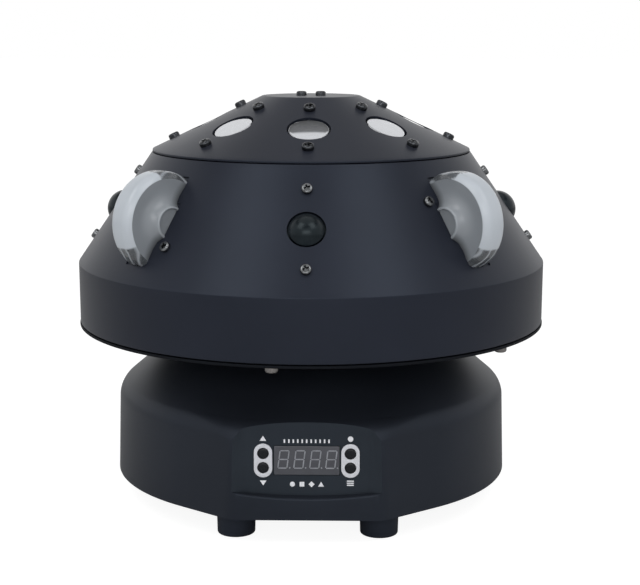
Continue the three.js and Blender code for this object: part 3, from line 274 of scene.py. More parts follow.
coolSheen = (0.68, 0.8, 1.0)
mouldedLook = {
    "sheenTint": coolSheen, "driftScale": 18, "grain": 0.06, "grainScale": 2600, "bump": 0.14,
    "depth": 0.03,
}
platedLook = {
    "metallic": 1.0, "drift": 0.35, "driftScale": 500, "grain": 0.08, "grainScale": 1500, "bump": 0.05,
}
shellBlack = finish("shellBlack", (0.0125, 0.0142, 0.0215), 0.38, specular=0.24, drift=0.1, **mouldedLook)
baseBlack = finish("baseBlack", (0.0135, 0.0158, 0.0215), 0.42, specular=0.22, drift=0.12, **mouldedLook)
# painted shade: a darker copy of the black for the undersides, under the head and the base
underBlackPaintedShade = finish("underBlackPaintedShade", (0.005, 0.0055, 0.007), 0.65, specular=0.1, sheenTint=coolSheen)
# painted light: a paler copy of the base's black for the sunken panel, against the shade in its recess
panelBlackPaintedLighter = finish("panelBlackPaintedLighter", (0.0195, 0.024, 0.0302), 0.4, specular=0.22, sheenTint=coolSheen,
                    drift=0.1, driftScale=30, grain=0.04, grainScale=2600, bump=0.06)
rubber = finish("rubber", (0.016, 0.019, 0.027), 0.62, specular=0.25, sheenTint=coolSheen, grain=0.1,
                grainScale=1400, bump=0.3, depth=0.08)
# the fan lenses' milky look, set by their attributes, is painted reflection, glints, shade and highlight
# over cloudy plastic
lensClearWithPaintedLight = clearFinish("lensClearWithPaintedLight", (0.9, 0.93, 0.95), (0.85, 0.92, 1.0), 0.3, frostedWithPaintedLight=True)
windowClear = clearFinish("windowClear", (0.9, 0.92, 0.94), (0.7, 0.715, 0.745), 0.05, 1.0, share=0.8)
domeSmoke = finish("domeSmoke", (0.0055, 0.0085, 0.0115), 0.26, specular=0.22, sheenTint=(0.8, 0.95, 1.0),
                   drift=0.3, driftScale=90, grain=0.01, bump=0.0)
smokedWindow = finish("smokedWindow", (0.066, 0.069, 0.082), 0.2, drift=0.1, driftScale=90, grain=0.04,
                      grainScale=900, bump=0.03)
segmentGrey = finish("segmentGrey", (0.26, 0.27, 0.3), 0.35, drift=0.2, driftScale=350, bump=0.0)
paleGrey = finish("paleGrey", (0.68, 0.69, 0.74), 0.38, drift=0.04, driftScale=120, bump=0.05)
printWhite = finish("printWhite", (0.82, 0.83, 0.87), 0.5, drift=0.1, driftScale=900, bump=0.05)
buttonBlack = finish("buttonBlack", (0.008, 0.009, 0.012), 0.28, specular=0.2, bump=0.04)
socketBlack = finish("socketBlack", (0.012, 0.012, 0.014), 0.4, specular=0.4)
screwBlack = finish("screwBlack", (0.14, 0.145, 0.15), 0.19, **platedLook)
# painted shade: a darker copy of the cone's screw finish for the cap's screws
capScrewPaintedShade = finish("capScrewPaintedShade", (0.05, 0.053, 0.058), 0.19, **platedLook)
screwBright = finish("screwBright", (0.6, 0.6, 0.6), 0.24, metallic=0.95, drift=0.1,
                     driftScale=500, grain=0.08, grainScale=1500, bump=0.05)
# rough dull steel, with its colour painted darker as shade for the screws under the head
screwDullPaintedShade = finish("screwDullPaintedShade", (0.2, 0.19, 0.185), 0.42, metallic=0.9, drift=0.15,
                   driftScale=500, grain=0.1, grainScale=1500, bump=0.06)
silvered = finish("silvered", (0.85, 0.86, 0.88), 0.1, metallic=1.0, drift=0.03,
                  driftScale=80, grain=0.04, grainScale=700, bump=0.02)
steel = finish("steel", (0.42, 0.43, 0.45), 0.34, metallic=0.95, drift=0.1, driftScale=60,
               grain=0.1, grainScale=900, bump=0.1)
aluminium = finish("aluminium", (0.6, 0.61, 0.63), 0.36, metallic=0.9, drift=0.08,
                   driftScale=50, grain=0.08, grainScale=1100)
darkAluminium = finish("darkAluminium", (0.018, 0.018, 0.02), 0.42, metallic=0.3, specular=0.4,
                       drift=0.15, driftScale=60, grain=0.08, grainScale=1500)
nylon = finish("nylon", (0.72, 0.7, 0.63), 0.42, drift=0.05, driftScale=60, bump=0.06)
boardGreen = finish("boardGreen", (0.016, 0.11, 0.042), 0.42, drift=0.25, driftScale=220,
                    grain=0.1, grainScale=900, bump=0.15, coat=0.3)
print("finishes are mixed")

# the finish of a CAD node that is shown as it is, by its slot
cadFinishes = {
    "shell": shellBlack, "floor": underBlackPaintedShade, "head_floor": underBlackPaintedShade, "rubber": rubber,
    "clear": lensClearWithPaintedLight, "dark_lens": domeSmoke, "window": smokedWindow, "pale": paleGrey,
    "black": buttonBlack, "board": boardGreen, "aluminium": aluminium,
    "black_aluminium": darkAluminium, "silvered": silvered, "steel": steel, "nylon": nylon,
}


def dressCadNodes():
    slots = {part["node"]: part["material_slot"] for part in frame["record"]["subparts"]}
    for name, node in frame["nodes"].items():
        node.data.materials.clear()
        node.data.materials.append(cadFinishes[slots[name]])


# Outlines, which are lists of [x, y] or [radius, height]

cornerShare = 0.49  # the most of a side that one rounded corner may take
cornerSteps = 5


# A closed outline with each corner rounded by its own radius.
def rounded(points, radii, steps=cornerSteps):
    outline = []
    count = len(points)
    for i, radius in enumerate(radii):
        corner = Vector(points[i])
        if radius == 0:
            outline.append(tuple(corner))
            continue
        before = Vector(points[i - 1]) - corner
        after = Vector(points[(i + 1) % count]) - corner
        half = before.angle(after) / 2
        reach = min(radius / math.tan(half), cornerShare * before.length, cornerShare * after.length)
        turnRadius = reach * math.tan(half)
        middle = (before.normalized() + after.normalized()).normalized()
        centre = corner + middle * (turnRadius / math.sin(half))
        start = corner + before.normalized() * reach - centre
        end = corner + after.normalized() * reach - centre
        sweep = start.angle(end)
        for k in range(steps + 1):
            share = k / steps
            arm = (start * math.sin((1 - share) * sweep) + end * math.sin(share * sweep)) / math.sin(sweep)
            outline.append(tuple(centre + arm))
    return outline


# The same outline with points added along its long sides.
def divided(outline, longest):
    points = []
    for (x0, y0), (x1, y1) in zip(outline, outline[1:] + outline[:1]):
        count = max(1, math.ceil(math.hypot(x1 - x0, y1 - y0) / longest))
        points += [(x0 + (x1 - x0) * k / count, y0 + (y1 - y0) * k / count) for k in range(count)]
    return points


# The path moved to its left by a distance, with mitred corners.
def offsetPath(path, distance):
    normals = []
    for (x0, y0), (x1, y1) in zip(path, path[1:]):
        run = Vector((x1 - x0, y1 - y0)).normalized()
        normals.append(Vector((-run.y, run.x)))
    shifted = []
    for i, (x, y) in enumerate(path):
        before = normals[max(i - 1, 0)]
        mitre = (before + normals[min(i, len(normals) - 1)]).normalized()
        reach = distance / mitre.dot(before)
        shifted.append((x + mitre.x * reach, y + mitre.y * reach))
    return shifted


def boxOutline(halfX, halfY):
    return [(-halfX, -halfY), (halfX, -halfY), (halfX, halfY), (-halfX, halfY)]


def roundBox(halfX, halfY, radius, steps=cornerSteps):
    return rounded(boxOutline(halfX, halfY), [radius] * 4, steps)


def circle(radius, count):
    angles = [2 * math.pi * i / count for i in range(count)]
    return [(radius * math.cos(angle), radius * math.sin(angle)) for angle in angles]


def atPlace(outline, x, y):
    return [(x + u, y + v) for u, v in outline]


# Bodies made from outlines

mergeDistance = 1e-4
pointRadius = 1e-6  # a radius below this is one point on the axis
holeSides = 96


def asObject(form, name):
    bmesh.ops.remove_doubles(form, verts=form.verts, dist=mergeDistance)
    bmesh.ops.recalc_face_normals(form, faces=form.faces)
    bmesh.ops.scale(form, vec=(mm, mm, mm), verts=form.verts)
    mesh = bpy.data.meshes.new(name)
    form.to_mesh(mesh)
    form.free()
    return intoScene(name, mesh)


# A closed [radius, height] outline turned about Z.
def turned(name, outline, segments):
    form = bmesh.new()
    angles = [2 * math.pi * i / segments for i in range(segments)]
    rings = []
    for radius, height in outline:
        spots = [(radius * math.sin(a), -radius * math.cos(a), height) for a in angles]
        if radius < pointRadius:
            spots = [(0, 0, height)]
        rings.append([form.verts.new(spot) for spot in spots])
    for low, high in zip(rings, rings[1:] + rings[:1]):
        if len(low) == 1 and len(high) == 1:
            continue
        for i in range(segments):
            j = (i + 1) % segments
            corners = [low[i % len(low)], low[j % len(low)], high[j % len(high)], high[i % len(high)]]
            form.faces.new(list(dict.fromkeys(corners)))
    return asObject(form, name)


# A body skinned over rings of equal point counts, closed at each end.
def skinned(name, rings):
    form = bmesh.new()
    loops = [[form.verts.new(point) for point in ring] for ring in rings]
    count = len(rings[0])
    for low, high in zip(loops, loops[1:]):
        for i in range(count):
            j = (i + 1) % count
            form.faces.new([low[i], low[j], high[j], high[i]])
    form.faces.new(loops[0][::-1])
    form.faces.new(loops[-1])
    return asObject(form, name)


# An [x, y] outline pushed up from low to high.
def prism(name, outline, low, high):
    form = bmesh.new()
    lower = [form.verts.new((x, y, low)) for x, y in outline]
    upper = [form.verts.new((x, y, high)) for x, y in outline]
    form.faces.new(lower[::-1])
    form.faces.new(upper)
    count = len(outline)
    for i in range(count):
        j = (i + 1) % count
        form.faces.new([lower[i], lower[j], upper[j], upper[i]])
    return asObject(form, name)


def rod(name, radius, low, high, sides=holeSides):
    return turned(name, [(0, low), (radius, low), (radius, high), (0, high)], sides)


def slab(name, x0, x1, y0, y1, z0, z1):
    return prism(name, [(x0, y0), (x1, y0), (x1, y1), (x0, y1)], z0, z1)


# Work on finished bodies

softEdge = {"segments": 2, "angle": 35}
creaseAngle = 32  # faces that meet at more than this keep a sharp edge


# Takes the modifiers' result as the piece's own mesh.
def settle(piece):
    graph = bpy.context.evaluated_depsgraph_get()
    mesh = bpy.data.meshes.new_from_object(piece.evaluated_get(graph))
    piece.modifiers.clear()
    piece.data = mesh


def carve(piece, cutters, operation="DIFFERENCE"):
    for cutter in cutters:
        work = piece.modifiers.new("carve", "BOOLEAN")
        work.operation = operation
        work.solver = "EXACT"
        work.object = cutter
        settle(piece)
        bpy.data.objects.remove(cutter)


def soften(piece, width):
    edge = piece.modifiers.new("soften", "BEVEL")
    edge.limit_method = "ANGLE"
    edge.angle_limit = math.radians(softEdge["angle"])
    edge.width = width * mm
    edge.segments = softEdge["segments"]
    settle(piece)
    return piece


def moved(piece, x, y, z):
    piece.data.transform(Matrix.Translation((x * mm, y * mm, z * mm)))
    return piece


def joined(name, pieces):
    form = bmesh.new()
    for piece in pieces:
        form.from_mesh(piece.data)
        bpy.data.objects.remove(piece)
    mesh = bpy.data.meshes.new(name)
    form.to_mesh(mesh)
    form.free()
    return intoScene(name, mesh)


# Gives a finished piece its finish, smooth shading, body and the CAD nodes that it stands for.
def dress(piece, material, body, replaced=(), angle=creaseAngle):
    piece.data.materials.clear()
    piece.data.materials.append(material)
    for polygon in piece.data.polygons:
        polygon.use_smooth = True
        polygon.material_index = 0
    piece.data.set_sharp_from_angle(angle=math.radians(angle))
    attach(piece, body)
    if replaced:
        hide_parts(*replaced)


# Seats on the head: X across, Y up the slope, Z straight out of it

def slopeBetween(lowRadius, lowHeight, highRadius, highHeight):
    return {
        "tilt": math.atan2(highHeight - lowHeight, lowRadius - highRadius),
        "radius": (lowRadius + highRadius) / 2,
        "height": (lowHeight + highHeight) / 2,
    }


def upSlope(side, up):
    return {
        "tilt": side["tilt"],
        "radius": side["radius"] - up * math.cos(side["tilt"]),
        "height": side["height"] + up * math.sin(side["tilt"]),
    }


# One tree sets a shape on a seat and repeats it round the turning axis.
def growAroundTree():
    tree = bpy.data.node_groups.new("aroundTheAxis", "GeometryNodeTree")
    sockets = {
        "Shape": "Geometry", "Count": "Int", "First Azimuth": "Float", "Seat Radius": "Float",
        "Seat Height": "Float", "Seat Tilt": "Float", "Finish": "Material",
    }
    for label, kind in sockets.items():
        tree.interface.new_socket(label, in_out="INPUT", socket_type="NodeSocket" + kind)
    tree.interface.new_socket("Ring", in_out="OUTPUT", socket_type="NodeSocketGeometry")
    given = addNode(tree, "NodeGroupInput").outputs
    inward = addNode(tree, "ShaderNodeMath", {0: given["Seat Radius"], 1: -1}, operation="MULTIPLY")
    shift = addNode(tree, "ShaderNodeCombineXYZ", {"Y": inward.outputs[0], "Z": given["Seat Height"]})
    lean = addNode(tree, "ShaderNodeCombineXYZ", {"X": given["Seat Tilt"]})
    leanTurn = addNode(tree, "FunctionNodeEulerToRotation", {0: lean.outputs[0]})
    seat = addNode(tree, "GeometryNodeTransform", {
        "Geometry": given["Shape"], "Translation": shift.outputs[0], "Rotation": leanTurn.outputs[0],
    })
    points = addNode(tree, "GeometryNodePoints", {"Count": given["Count"]})
    pitch = addNode(tree, "ShaderNodeMath", {0: 2 * math.pi, 1: given["Count"]}, operation="DIVIDE")
    index = addNode(tree, "GeometryNodeInputIndex")
    step = addNode(tree, "ShaderNodeMath", {
        0: index.outputs[0], 1: pitch.outputs[0], 2: given["First Azimuth"],
    }, operation="MULTIPLY_ADD")
    spin = addNode(tree, "ShaderNodeCombineXYZ", {"Z": step.outputs[0]})
    spinTurn = addNode(tree, "FunctionNodeEulerToRotation", {0: spin.outputs[0]})
    copies = addNode(tree, "GeometryNodeInstanceOnPoints", {
        "Points": points.outputs[0], "Instance": seat.outputs[0], "Rotation": spinTurn.outputs[0],
    })
    real = addNode(tree, "GeometryNodeRealizeInstances", {0: copies.outputs[0]})
    coat = addNode(tree, "GeometryNodeSetMaterial", {
        "Geometry": real.outputs[0], "Material": given["Finish"],
    })
    addNode(tree, "NodeGroupOutput", {"Ring": coat.outputs[0]})
    return tree


aroundTree = growAroundTree()


def around(name, shape, count, first, seat, material):
    grower = shape.modifiers.new("around", "NODES")
    grower.node_group = aroundTree
    values = {
        "Count": count, "First Azimuth": math.radians(first), "Seat Radius": seat["radius"] * mm,
        "Seat Height": seat["height"] * mm, "Seat Tilt": seat["tilt"], "Finish": material,
    }
    for item in aroundTree.interface.items_tree:
        if item.in_out == "INPUT" and item.name in values:
            grower[item.identifier] = values[item.name]
    settle(shape)
    shape.name = name
    return shape


# One piece with a shape at each azimuth and another one opposite it.
def opposedPairs(name, makeShape, azimuths, seat, material):
    return joined(name, [around("pair", makeShape(), 2, first, seat, material) for first in azimuths])


# The head: skirt, steep cone and shallow cap

headSizes = {
    "radius": 150, "skirtTaper": 0.1, "skirtHeight": 40, "coneTopRadius": 101.4, "seamGap": 0.9,
    "wall": 2.4, "flangeReach": 9.4, "foldRound": 1.1, "rimRound": 0.5, "rowLength": 3.5, "sides": 288,
    "cadSides": 32,
}
capSizes = {
    "overhang": 0.3, "rimHeight": 0.8, "lipDrop": 0.4, "landInset": 1.6, "discRadius": 31.2,
    "spigotWall": 2, "spigotDepth": 7, "rimRound": 0.35, "edgeRound": 0.4, "discRound": 2.2,
    "insideRound": 1,
}
headFloorSizes = {
    "bore": 14, "thickness": 1.6, "upstandWall": 1.8, "rounds": [0.4, 0.5, 0.5, 0, 0.3, 0.3, 0.5, 0.4],
}
seam = cadLevel("head_housing", 1) + headSizes["seamGap"]
crown = cadLevel("top_cap", 1)
fold = cadLevel("head_floor_plate", 0) + headSizes["skirtHeight"]
steepSide = slopeBetween(headSizes["radius"], fold, headSizes["coneTopRadius"], seam)
capRadius = headSizes["coneTopRadius"] + capSizes["overhang"]
capSide = slopeBetween(capRadius, seam + capSizes["rimHeight"], capSizes["discRadius"], crown)

domeSizes = {
    "count": 4, "first": 0, "radius": 10.2, "proud": 5.7, "gap": 1.0, "flangeRadius": 14.6,
    "flangeThickness": 1.6, "holeDepth": 13, "steps": 20, "sides": 96,
}
fanSizes = {
    "count": 4, "first": 45, "radius": 30.2, "shoulderRadius": 26.2, "sink": 1.3, "dishRadius": 13.5,
    "dishHalf": 4.6, "dishSteps": 14, "bossOuter": 9.7, "bossInner": 8.7, "rimHalf": 8.8, "bossHalf": 12.6,
    "bossRecess": 1.3, "bossRounds": [0, 0.8, 0.5, 0.7], "shoulderRound": 0.5, "crestSteps": 12,
    "crestPower": 4, "sides": 144, "creaseAngle": 38, "slotGap": 0.3, "slotRound": 1.2,
    "slotInnerShare": 0.6, "slotDepth": 12, "footEdge": 1.6, "footHalfWidth": 14, "footThickness": 1.3,
    "footRound": 1.5,
}
beamSizes = {
    "count": 8, "first": 0, "holeRadius": 13.3, "lensRadius": 12.4, "crown": 0.3, "crownDrop": 0.6,
    "steps": 8, "edgeRound": 0.8, "flangeRadius": 14.6, "flangeThickness": 1.4, "flangeRound": 0.3,
    "sides": 96, "bowlRadius": 12, "bowlFloor": 5, "bowlDepth": 13, "bowlWall": 1.6, "bowlSteps": 10,
    "bowlSides": 64, "trayThickness": 1.8, "trayMargin": 7.4, "traySides": 128,
}


# How far a flat flange must stay under the cone's wall, so that its edge clears the curve.
def fallAway(side, across, up):
    radius = upSlope(side, up)["radius"]
    bend = radius / math.sin(side["tilt"])
    sag = radius * (1 - math.cos(math.pi / headSizes["cadSides"])) * math.sin(side["tilt"])
    return bend - math.sqrt(bend ** 2 - across ** 2) + sag


def flangeTop(side, across, up):
    return -headSizes["wall"] - fallAway(side, across, up) - clearance


# The radius of the ball that a crowned lens is cut from.
def ballRadius(reach, rise):
    return (reach ** 2 + rise ** 2) / (2 * rise)


# A half wheel's dished side, from the hub's edge (share 0) to the rim (share 1).
def dishPoint(share):
    sizes = fanSizes

    def blend(start, pull, end):
        return start * (1 - share) ** 2 + 2 * pull * share * (1 - share) + end * share ** 2

    return (blend(sizes["bossOuter"], sizes["dishRadius"], sizes["shoulderRadius"]),
            blend(sizes["bossHalf"], sizes["dishHalf"], sizes["rimHalf"]))


# The outline of a half wheel's slot, wider at the hub than at the rim.
def crossOutline(gap):
    sizes = fanSizes
    hub = sizes["bossHalf"]
    rim = sizes["rimHalf"]
    asWideAsRim = (hub - rim) / (hub - 2 * sizes["dishHalf"] + rim)
    rimX = rim + gap
    rimY = sizes["radius"] + gap
    hubX = hub + gap
    hubY = dishPoint(asWideAsRim)[0] + gap
    points = [(-rimX, -rimY), (rimX, -rimY), (rimX, -hubY), (hubX, -hubY), (hubX, hubY), (rimX, hubY),
              (rimX, rimY), (-rimX, rimY), (-rimX, hubY), (-hubX, hubY), (-hubX, -hubY), (-rimX, -hubY)]
    corner = sizes["slotRound"]
    return rounded(points, [corner, corner, corner * sizes["slotInnerShare"]] * 4)


def makeHeadShell():
    sizes = headSizes
    low = cadLevel("head_housing", 0)
    top = cadLevel("head_housing", 1)
    seamRadius = sizes["coneTopRadius"] + sizes["seamGap"] / math.tan(steepSide["tilt"])
    path = [
        (sizes["radius"] - sizes["skirtTaper"], low),
        (sizes["radius"], fold),
        (seamRadius, top),
        (sizes["coneTopRadius"] - sizes["flangeReach"], top),
    ]
    inside = offsetPath(path, sizes["wall"])[::-1]
    rim = sizes["rimRound"]
    outline = rounded(path + inside, [rim, sizes["foldRound"], rim, rim, rim, 0, 0, rim])
    shell = turned("headShell", divided(outline, sizes["rowLength"]), sizes["sides"])
    domeDepth = domeSizes["holeDepth"]
    fanDepth = fanSizes["slotDepth"]
    domeHole = rod("domeHole", domeSizes["radius"] + domeSizes["gap"], -domeDepth, domeDepth)
    fanSlot = prism("fanSlot", crossOutline(fanSizes["slotGap"]), -fanDepth, fanDepth)
    carve(shell, [
        around("domeHoles", domeHole, domeSizes["count"], domeSizes["first"], steepSide, shellBlack),
        around("fanSlots", fanSlot, fanSizes["count"], fanSizes["first"], steepSide, shellBlack),
    ])
    dress(shell, shellBlack, "head", ["head_housing"])


def makeTopCap():
    sizes = capSizes
    wall = headSizes["wall"]
    spigot = headSizes["coneTopRadius"] - headSizes["flangeReach"] - clearance
    spigotInner = spigot - sizes["spigotWall"]
    spigotLow = seam - sizes["spigotDepth"]
    land = capRadius - sizes["landInset"]
    landLow = cadLevel("head_housing", 1) + clearance
    lip = seam - sizes["lipDrop"]
    rimTop = seam + sizes["rimHeight"]
    outer = [(capRadius, lip), (capRadius, rimTop), (sizes["discRadius"], crown), (0, crown)]
    inner = offsetPath(outer, wall)
    wallTop = inner[1][1] + (capRadius - wall - spigotInner) * math.tan(capSide["tilt"])
    points = outer + [
        (0, crown - wall), inner[2], (spigotInner, wallTop), (spigotInner, spigotLow), (spigot, spigotLow),
        (spigot, landLow), (land, landLow), (land, lip),
    ]
    rim = sizes["rimRound"]
    radii = [rim, sizes["edgeRound"], sizes["discRound"], 0, 0, sizes["insideRound"], 0, rim, rim, 0, 0, 0]
    cap = turned("topCap", divided(rounded(points, radii), headSizes["rowLength"]), headSizes["sides"])
    depth = beamSizes["bowlDepth"]
    hole = rod("windowHole", beamSizes["holeRadius"], -depth, depth)
    carve(cap, [around("windowHoles", hole, beamSizes["count"], beamSizes["first"], capSide, shellBlack)])
    dress(cap, shellBlack, "head", ["top_cap"])


def makeHeadFloor():
    sizes = headFloorSizes
    low = cadLevel("head_floor_plate", 0)
    top = low + sizes["thickness"]
    high = cadLevel("head_floor_plate", 1)
    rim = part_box("head_floor_plate")[1].x / mm
    upstand = headSizes["radius"] - headSizes["skirtTaper"] - headSizes["wall"] - clearance
    upstandInner = upstand - sizes["upstandWall"]
    points = [(sizes["bore"], low), (rim, low), (rim, top), (upstand, top), (upstand, high),
              (upstandInner, high), (upstandInner, top), (sizes["bore"], top)]
    plate = turned("headFloor", rounded(points, sizes["rounds"]), headSizes["sides"])
    dress(plate, underBlackPaintedShade, "head", ["head_floor_plate"])


makeHeadShell()
makeTopCap()
makeHeadFloor()
print("the head's shells are cut")


# Lenses. Each kind is one ring, which stands for the CAD's single lenses.

def dressLenses(name, lens, sizes, side, material, node, angle=creaseAngle):
    ring = around(name, lens, sizes["count"], sizes["first"], side, material)
    dress(ring, material, "head", [f"{node}_{i + 1}" for i in range(sizes["count"])], angle)


# Flush lenses in the cap. Returns the level under their flanges.
def makeBeamLenses():
    sizes = beamSizes
    reach = sizes["flangeRadius"]
    top = flangeTop(capSide, reach, reach)
    low = top - sizes["flangeThickness"]
    points = [(0, low), (reach, low), (reach, top), (sizes["lensRadius"], top)]
    ball = ballRadius(sizes["lensRadius"], sizes["crown"])
    for k in range(sizes["steps"] + 1):
        radius = sizes["lensRadius"] * (1 - k / sizes["steps"])
        points.append((radius, -sizes["crownDrop"] - ball + math.sqrt(ball ** 2 - radius ** 2)))
    edge = sizes["flangeRound"]
    outline = rounded(points, [0, edge, edge, 0, sizes["edgeRound"]] + [0] * sizes["steps"])
    lens = turned("beamLens", outline, sizes["sides"])
    dressLenses("beamLenses", lens, sizes, capSide, windowClear, "beam_lens")
    return low - clearance


# The tray of silvered bowls behind the flush lenses.
def makeBeamBowls(top):
    sizes = beamSizes
    low = top - sizes["trayThickness"]
    half = sizes["bowlRadius"] + sizes["bowlWall"] + sizes["trayMargin"]
    outline = []
    for up, out in ((-half, low), (-half, top), (half, top), (half, low)):
        seat = upSlope(capSide, up)
        outline.append((seat["radius"] + out * math.sin(seat["tilt"]),
                        seat["height"] + out * math.cos(seat["tilt"])))
    tray = turned("beamBowls", outline, sizes["traySides"])
    floor = low - sizes["bowlDepth"]
    lid = top + overshoot

    def bowlCurve(grow):
        steps = sizes["bowlSteps"]
        spread = sizes["bowlRadius"] - sizes["bowlFloor"]
        return [(0, floor - grow)] + [
            (sizes["bowlFloor"] + spread * math.sqrt(k / steps) + grow,
             floor - grow + (low - floor + grow) * k / steps) for k in range(steps + 1)
        ]

    outside = turned("bowlOutside", bowlCurve(sizes["bowlWall"]) + [(0, low)], sizes["bowlSides"])
    inside = turned("bowlInside", bowlCurve(0) + [(sizes["bowlRadius"], lid), (0, lid)], sizes["bowlSides"])
    for bowl, operation in ((outside, "UNION"), (inside, "DIFFERENCE")):
        carve(tray, [around("bowls", bowl, sizes["count"], sizes["first"], capSide, silvered)], operation)
    dress(tray, silvered, "head", ["beam_lamp_tray"])


# Domes on the steep cone.
def makeDomes():
    sizes = domeSizes
    reach = sizes["flangeRadius"]
    ball = ballRadius(sizes["radius"], sizes["proud"])
    start = math.asin((ball - sizes["proud"]) / ball)
    top = flangeTop(steepSide, reach, reach)
    low = top - sizes["flangeThickness"]
    points = [(0, low), (reach, low), (reach, top), (sizes["radius"], top)]
    for k in range(sizes["steps"] + 1):
        angle = start + (math.pi / 2 - start) * k / sizes["steps"]
        points.append((ball * math.cos(angle), sizes["proud"] - ball + ball * math.sin(angle)))
    points[-1] = (0, sizes["proud"])
    lens = turned("domeLens", points, sizes["sides"])
    dressLenses("domeLenses", lens, sizes, steepSide, domeSmoke, "dome_lens")


makeBeamBowls(makeBeamLenses())
makeDomes()


# Clear half wheels in the steep cone's cross-shaped slots

# The rim carries a milky band of painted reflection, its clear tips carry painted glints in soft streaks,
# and the dished sides and the hub are cloudy, with painted shade towards the cone's face and a painted
# highlight on the hub's edge. Each pair is the milky look's share and its tone.
frostAndPaintedLightLook = {
    "paintedReflectionBand": (0.82, 0.7), "bandLow": -61, "bandHigh": 45, "bandMargin": 0.2,
    "tip": (0.4, 0.2), "paintedGlintGain": 0.35, "streakPitch": 1.15, "streakBend": 2.2, "streakTurn": 0.12,
    "side": (0.85, 0.35), "fadeStart": -4, "fadeLength": 8, "fadeLeast": 0.4,
    "hub": (0.85, 0.3), "hubMargin": 0.3, "paintedHubHighlight": (0.85, 0.42), "hubEdgeWidth": 0.6,
}


def paintFrostAndLightOnWheel(mesh):
    sizes = fanSizes
    look = frostAndPaintedLightLook
    shares = mesh.attributes.new("frostAndPaintedLight", "FLOAT", "POINT")
    tones = mesh.attributes.new("milkAndPaintedLight", "FLOAT", "POINT")
    for vert, share, tone in zip(mesh.vertices, shares.data, tones.data):
        x, y, z = vert.co / mm
        radius = math.hypot(y, z + sizes["sink"])
        angle = math.degrees(math.atan2(y, z + sizes["sink"]))
        onRim = radius > sizes["shoulderRadius"] - look["bandMargin"]
        # painted reflection: a milky band on the rim where the studio's lamps would show in it
        if onRim and look["bandLow"] < angle < look["bandHigh"]:
            level = look["paintedReflectionBand"]
        elif onRim:
            # painted glints: milky streaks across the rim's clear tips
            wave = look["streakBend"] * math.sin(angle * look["streakTurn"])
            glint = max(math.sin(x * look["streakPitch"] + wave), 0) ** 2
            level = [part + look["paintedGlintGain"] * glint for part in look["tip"]]
        elif radius > sizes["bossOuter"] + look["hubMargin"]:
            # painted shade: the dished sides darken towards the cone's face
            paintedShadeFade = min(max((z - look["fadeStart"]) / look["fadeLength"], look["fadeLeast"]), 1)
            level = (look["side"][0], look["side"][1] * paintedShadeFade)
        else:
            # painted highlight: a paler milky tone along the hub's edge
            onEdge = abs(x) > sizes["bossHalf"] - look["hubEdgeWidth"]
            level = look["paintedHubHighlight" if onEdge else "hub"]
        share.value, tone.value = level


sealSizes = {"gap": 0.06, "sink": 0.1, "thickness": 1.2}


# A soft black seal closes each slot around its half wheel, a little under the cone's face.
def makeSlotSeals(wheel):
    top = -fallAway(steepSide, fanSizes["bossHalf"], fanSizes["bossOuter"]) - sealSizes["sink"]
    outline = crossOutline(fanSizes["slotGap"] - sealSizes["gap"])
    seal = prism("slotSeal", outline, top - sealSizes["thickness"], top)
    carve(seal, [intoScene("wheelForm", wheel.data.copy())])
    ring = around("slotSeals", seal, fanSizes["count"], fanSizes["first"], steepSide, shellBlack)
    dress(ring, shellBlack, "head")


def makeFanLenses():
    sizes = fanSizes
    hubFace = sizes["bossHalf"] - sizes["bossRecess"]
    half = [(0, hubFace), (sizes["bossInner"], hubFace), (sizes["bossInner"], sizes["bossHalf"])]
    half += [dishPoint(i / sizes["dishSteps"]) for i in range(sizes["dishSteps"])]
    shoulder = len(half)
    for k in range(sizes["crestSteps"] + 1):
        across = 1 - k / sizes["crestSteps"]
        fall = (sizes["radius"] - sizes["shoulderRadius"]) * across ** sizes["crestPower"]
        half.append((sizes["radius"] - fall, sizes["rimHalf"] * across))
    radii = sizes["bossRounds"] + [0] * (len(half) - len(sizes["bossRounds"]))
    radii[shoulder] = sizes["shoulderRound"]
    outline = half + [(radius, -across) for radius, across in half[:-1][::-1]]
    wheel = turned("fanLens", rounded(outline, radii + radii[:-1][::-1]), sizes["sides"])
    upright = Matrix.Rotation(math.pi / 2, 4, "Y")
    wheel.data.transform(Matrix.Translation((0, 0, -sizes["sink"] * mm)) @ upright)
    footTop = flangeTop(steepSide, sizes["footHalfWidth"], sizes["radius"])
    footLow = footTop - sizes["footThickness"]
    reach = sizes["radius"] + overshoot
    carve(wheel, [prism("aboveFoot", boxOutline(reach, reach), footLow, reach)], "INTERSECT")
    footOutline = roundBox(sizes["footHalfWidth"], sizes["radius"] + sizes["footEdge"], sizes["footRound"])
    carve(wheel, [prism("foot", footOutline, footLow, footTop)], "UNION")
    makeSlotSeals(wheel)
    paintFrostAndLightOnWheel(wheel.data)
    dressLenses("fanLenses", wheel, sizes, steepSide, lensClearWithPaintedLight, "fan_lens", sizes["creaseAngle"])


makeFanLenses()
print("lenses are set")


# Cross-head screws. A screw's sizes grow with its scale, and the cross's form doesn't.

screwSizes = {
    "radius": 3.3, "height": 2.7, "sink": 0.5, "edge": 1.25,
    "crossWidth": 1.25, "crossReach": 2.1, "crossDepth": 1.9,
}
crossForm = {"turn": 20, "floorReach": 0.45, "floorWidth": 0.6, "overTop": 0.4, "steps": 6, "sides": 40}


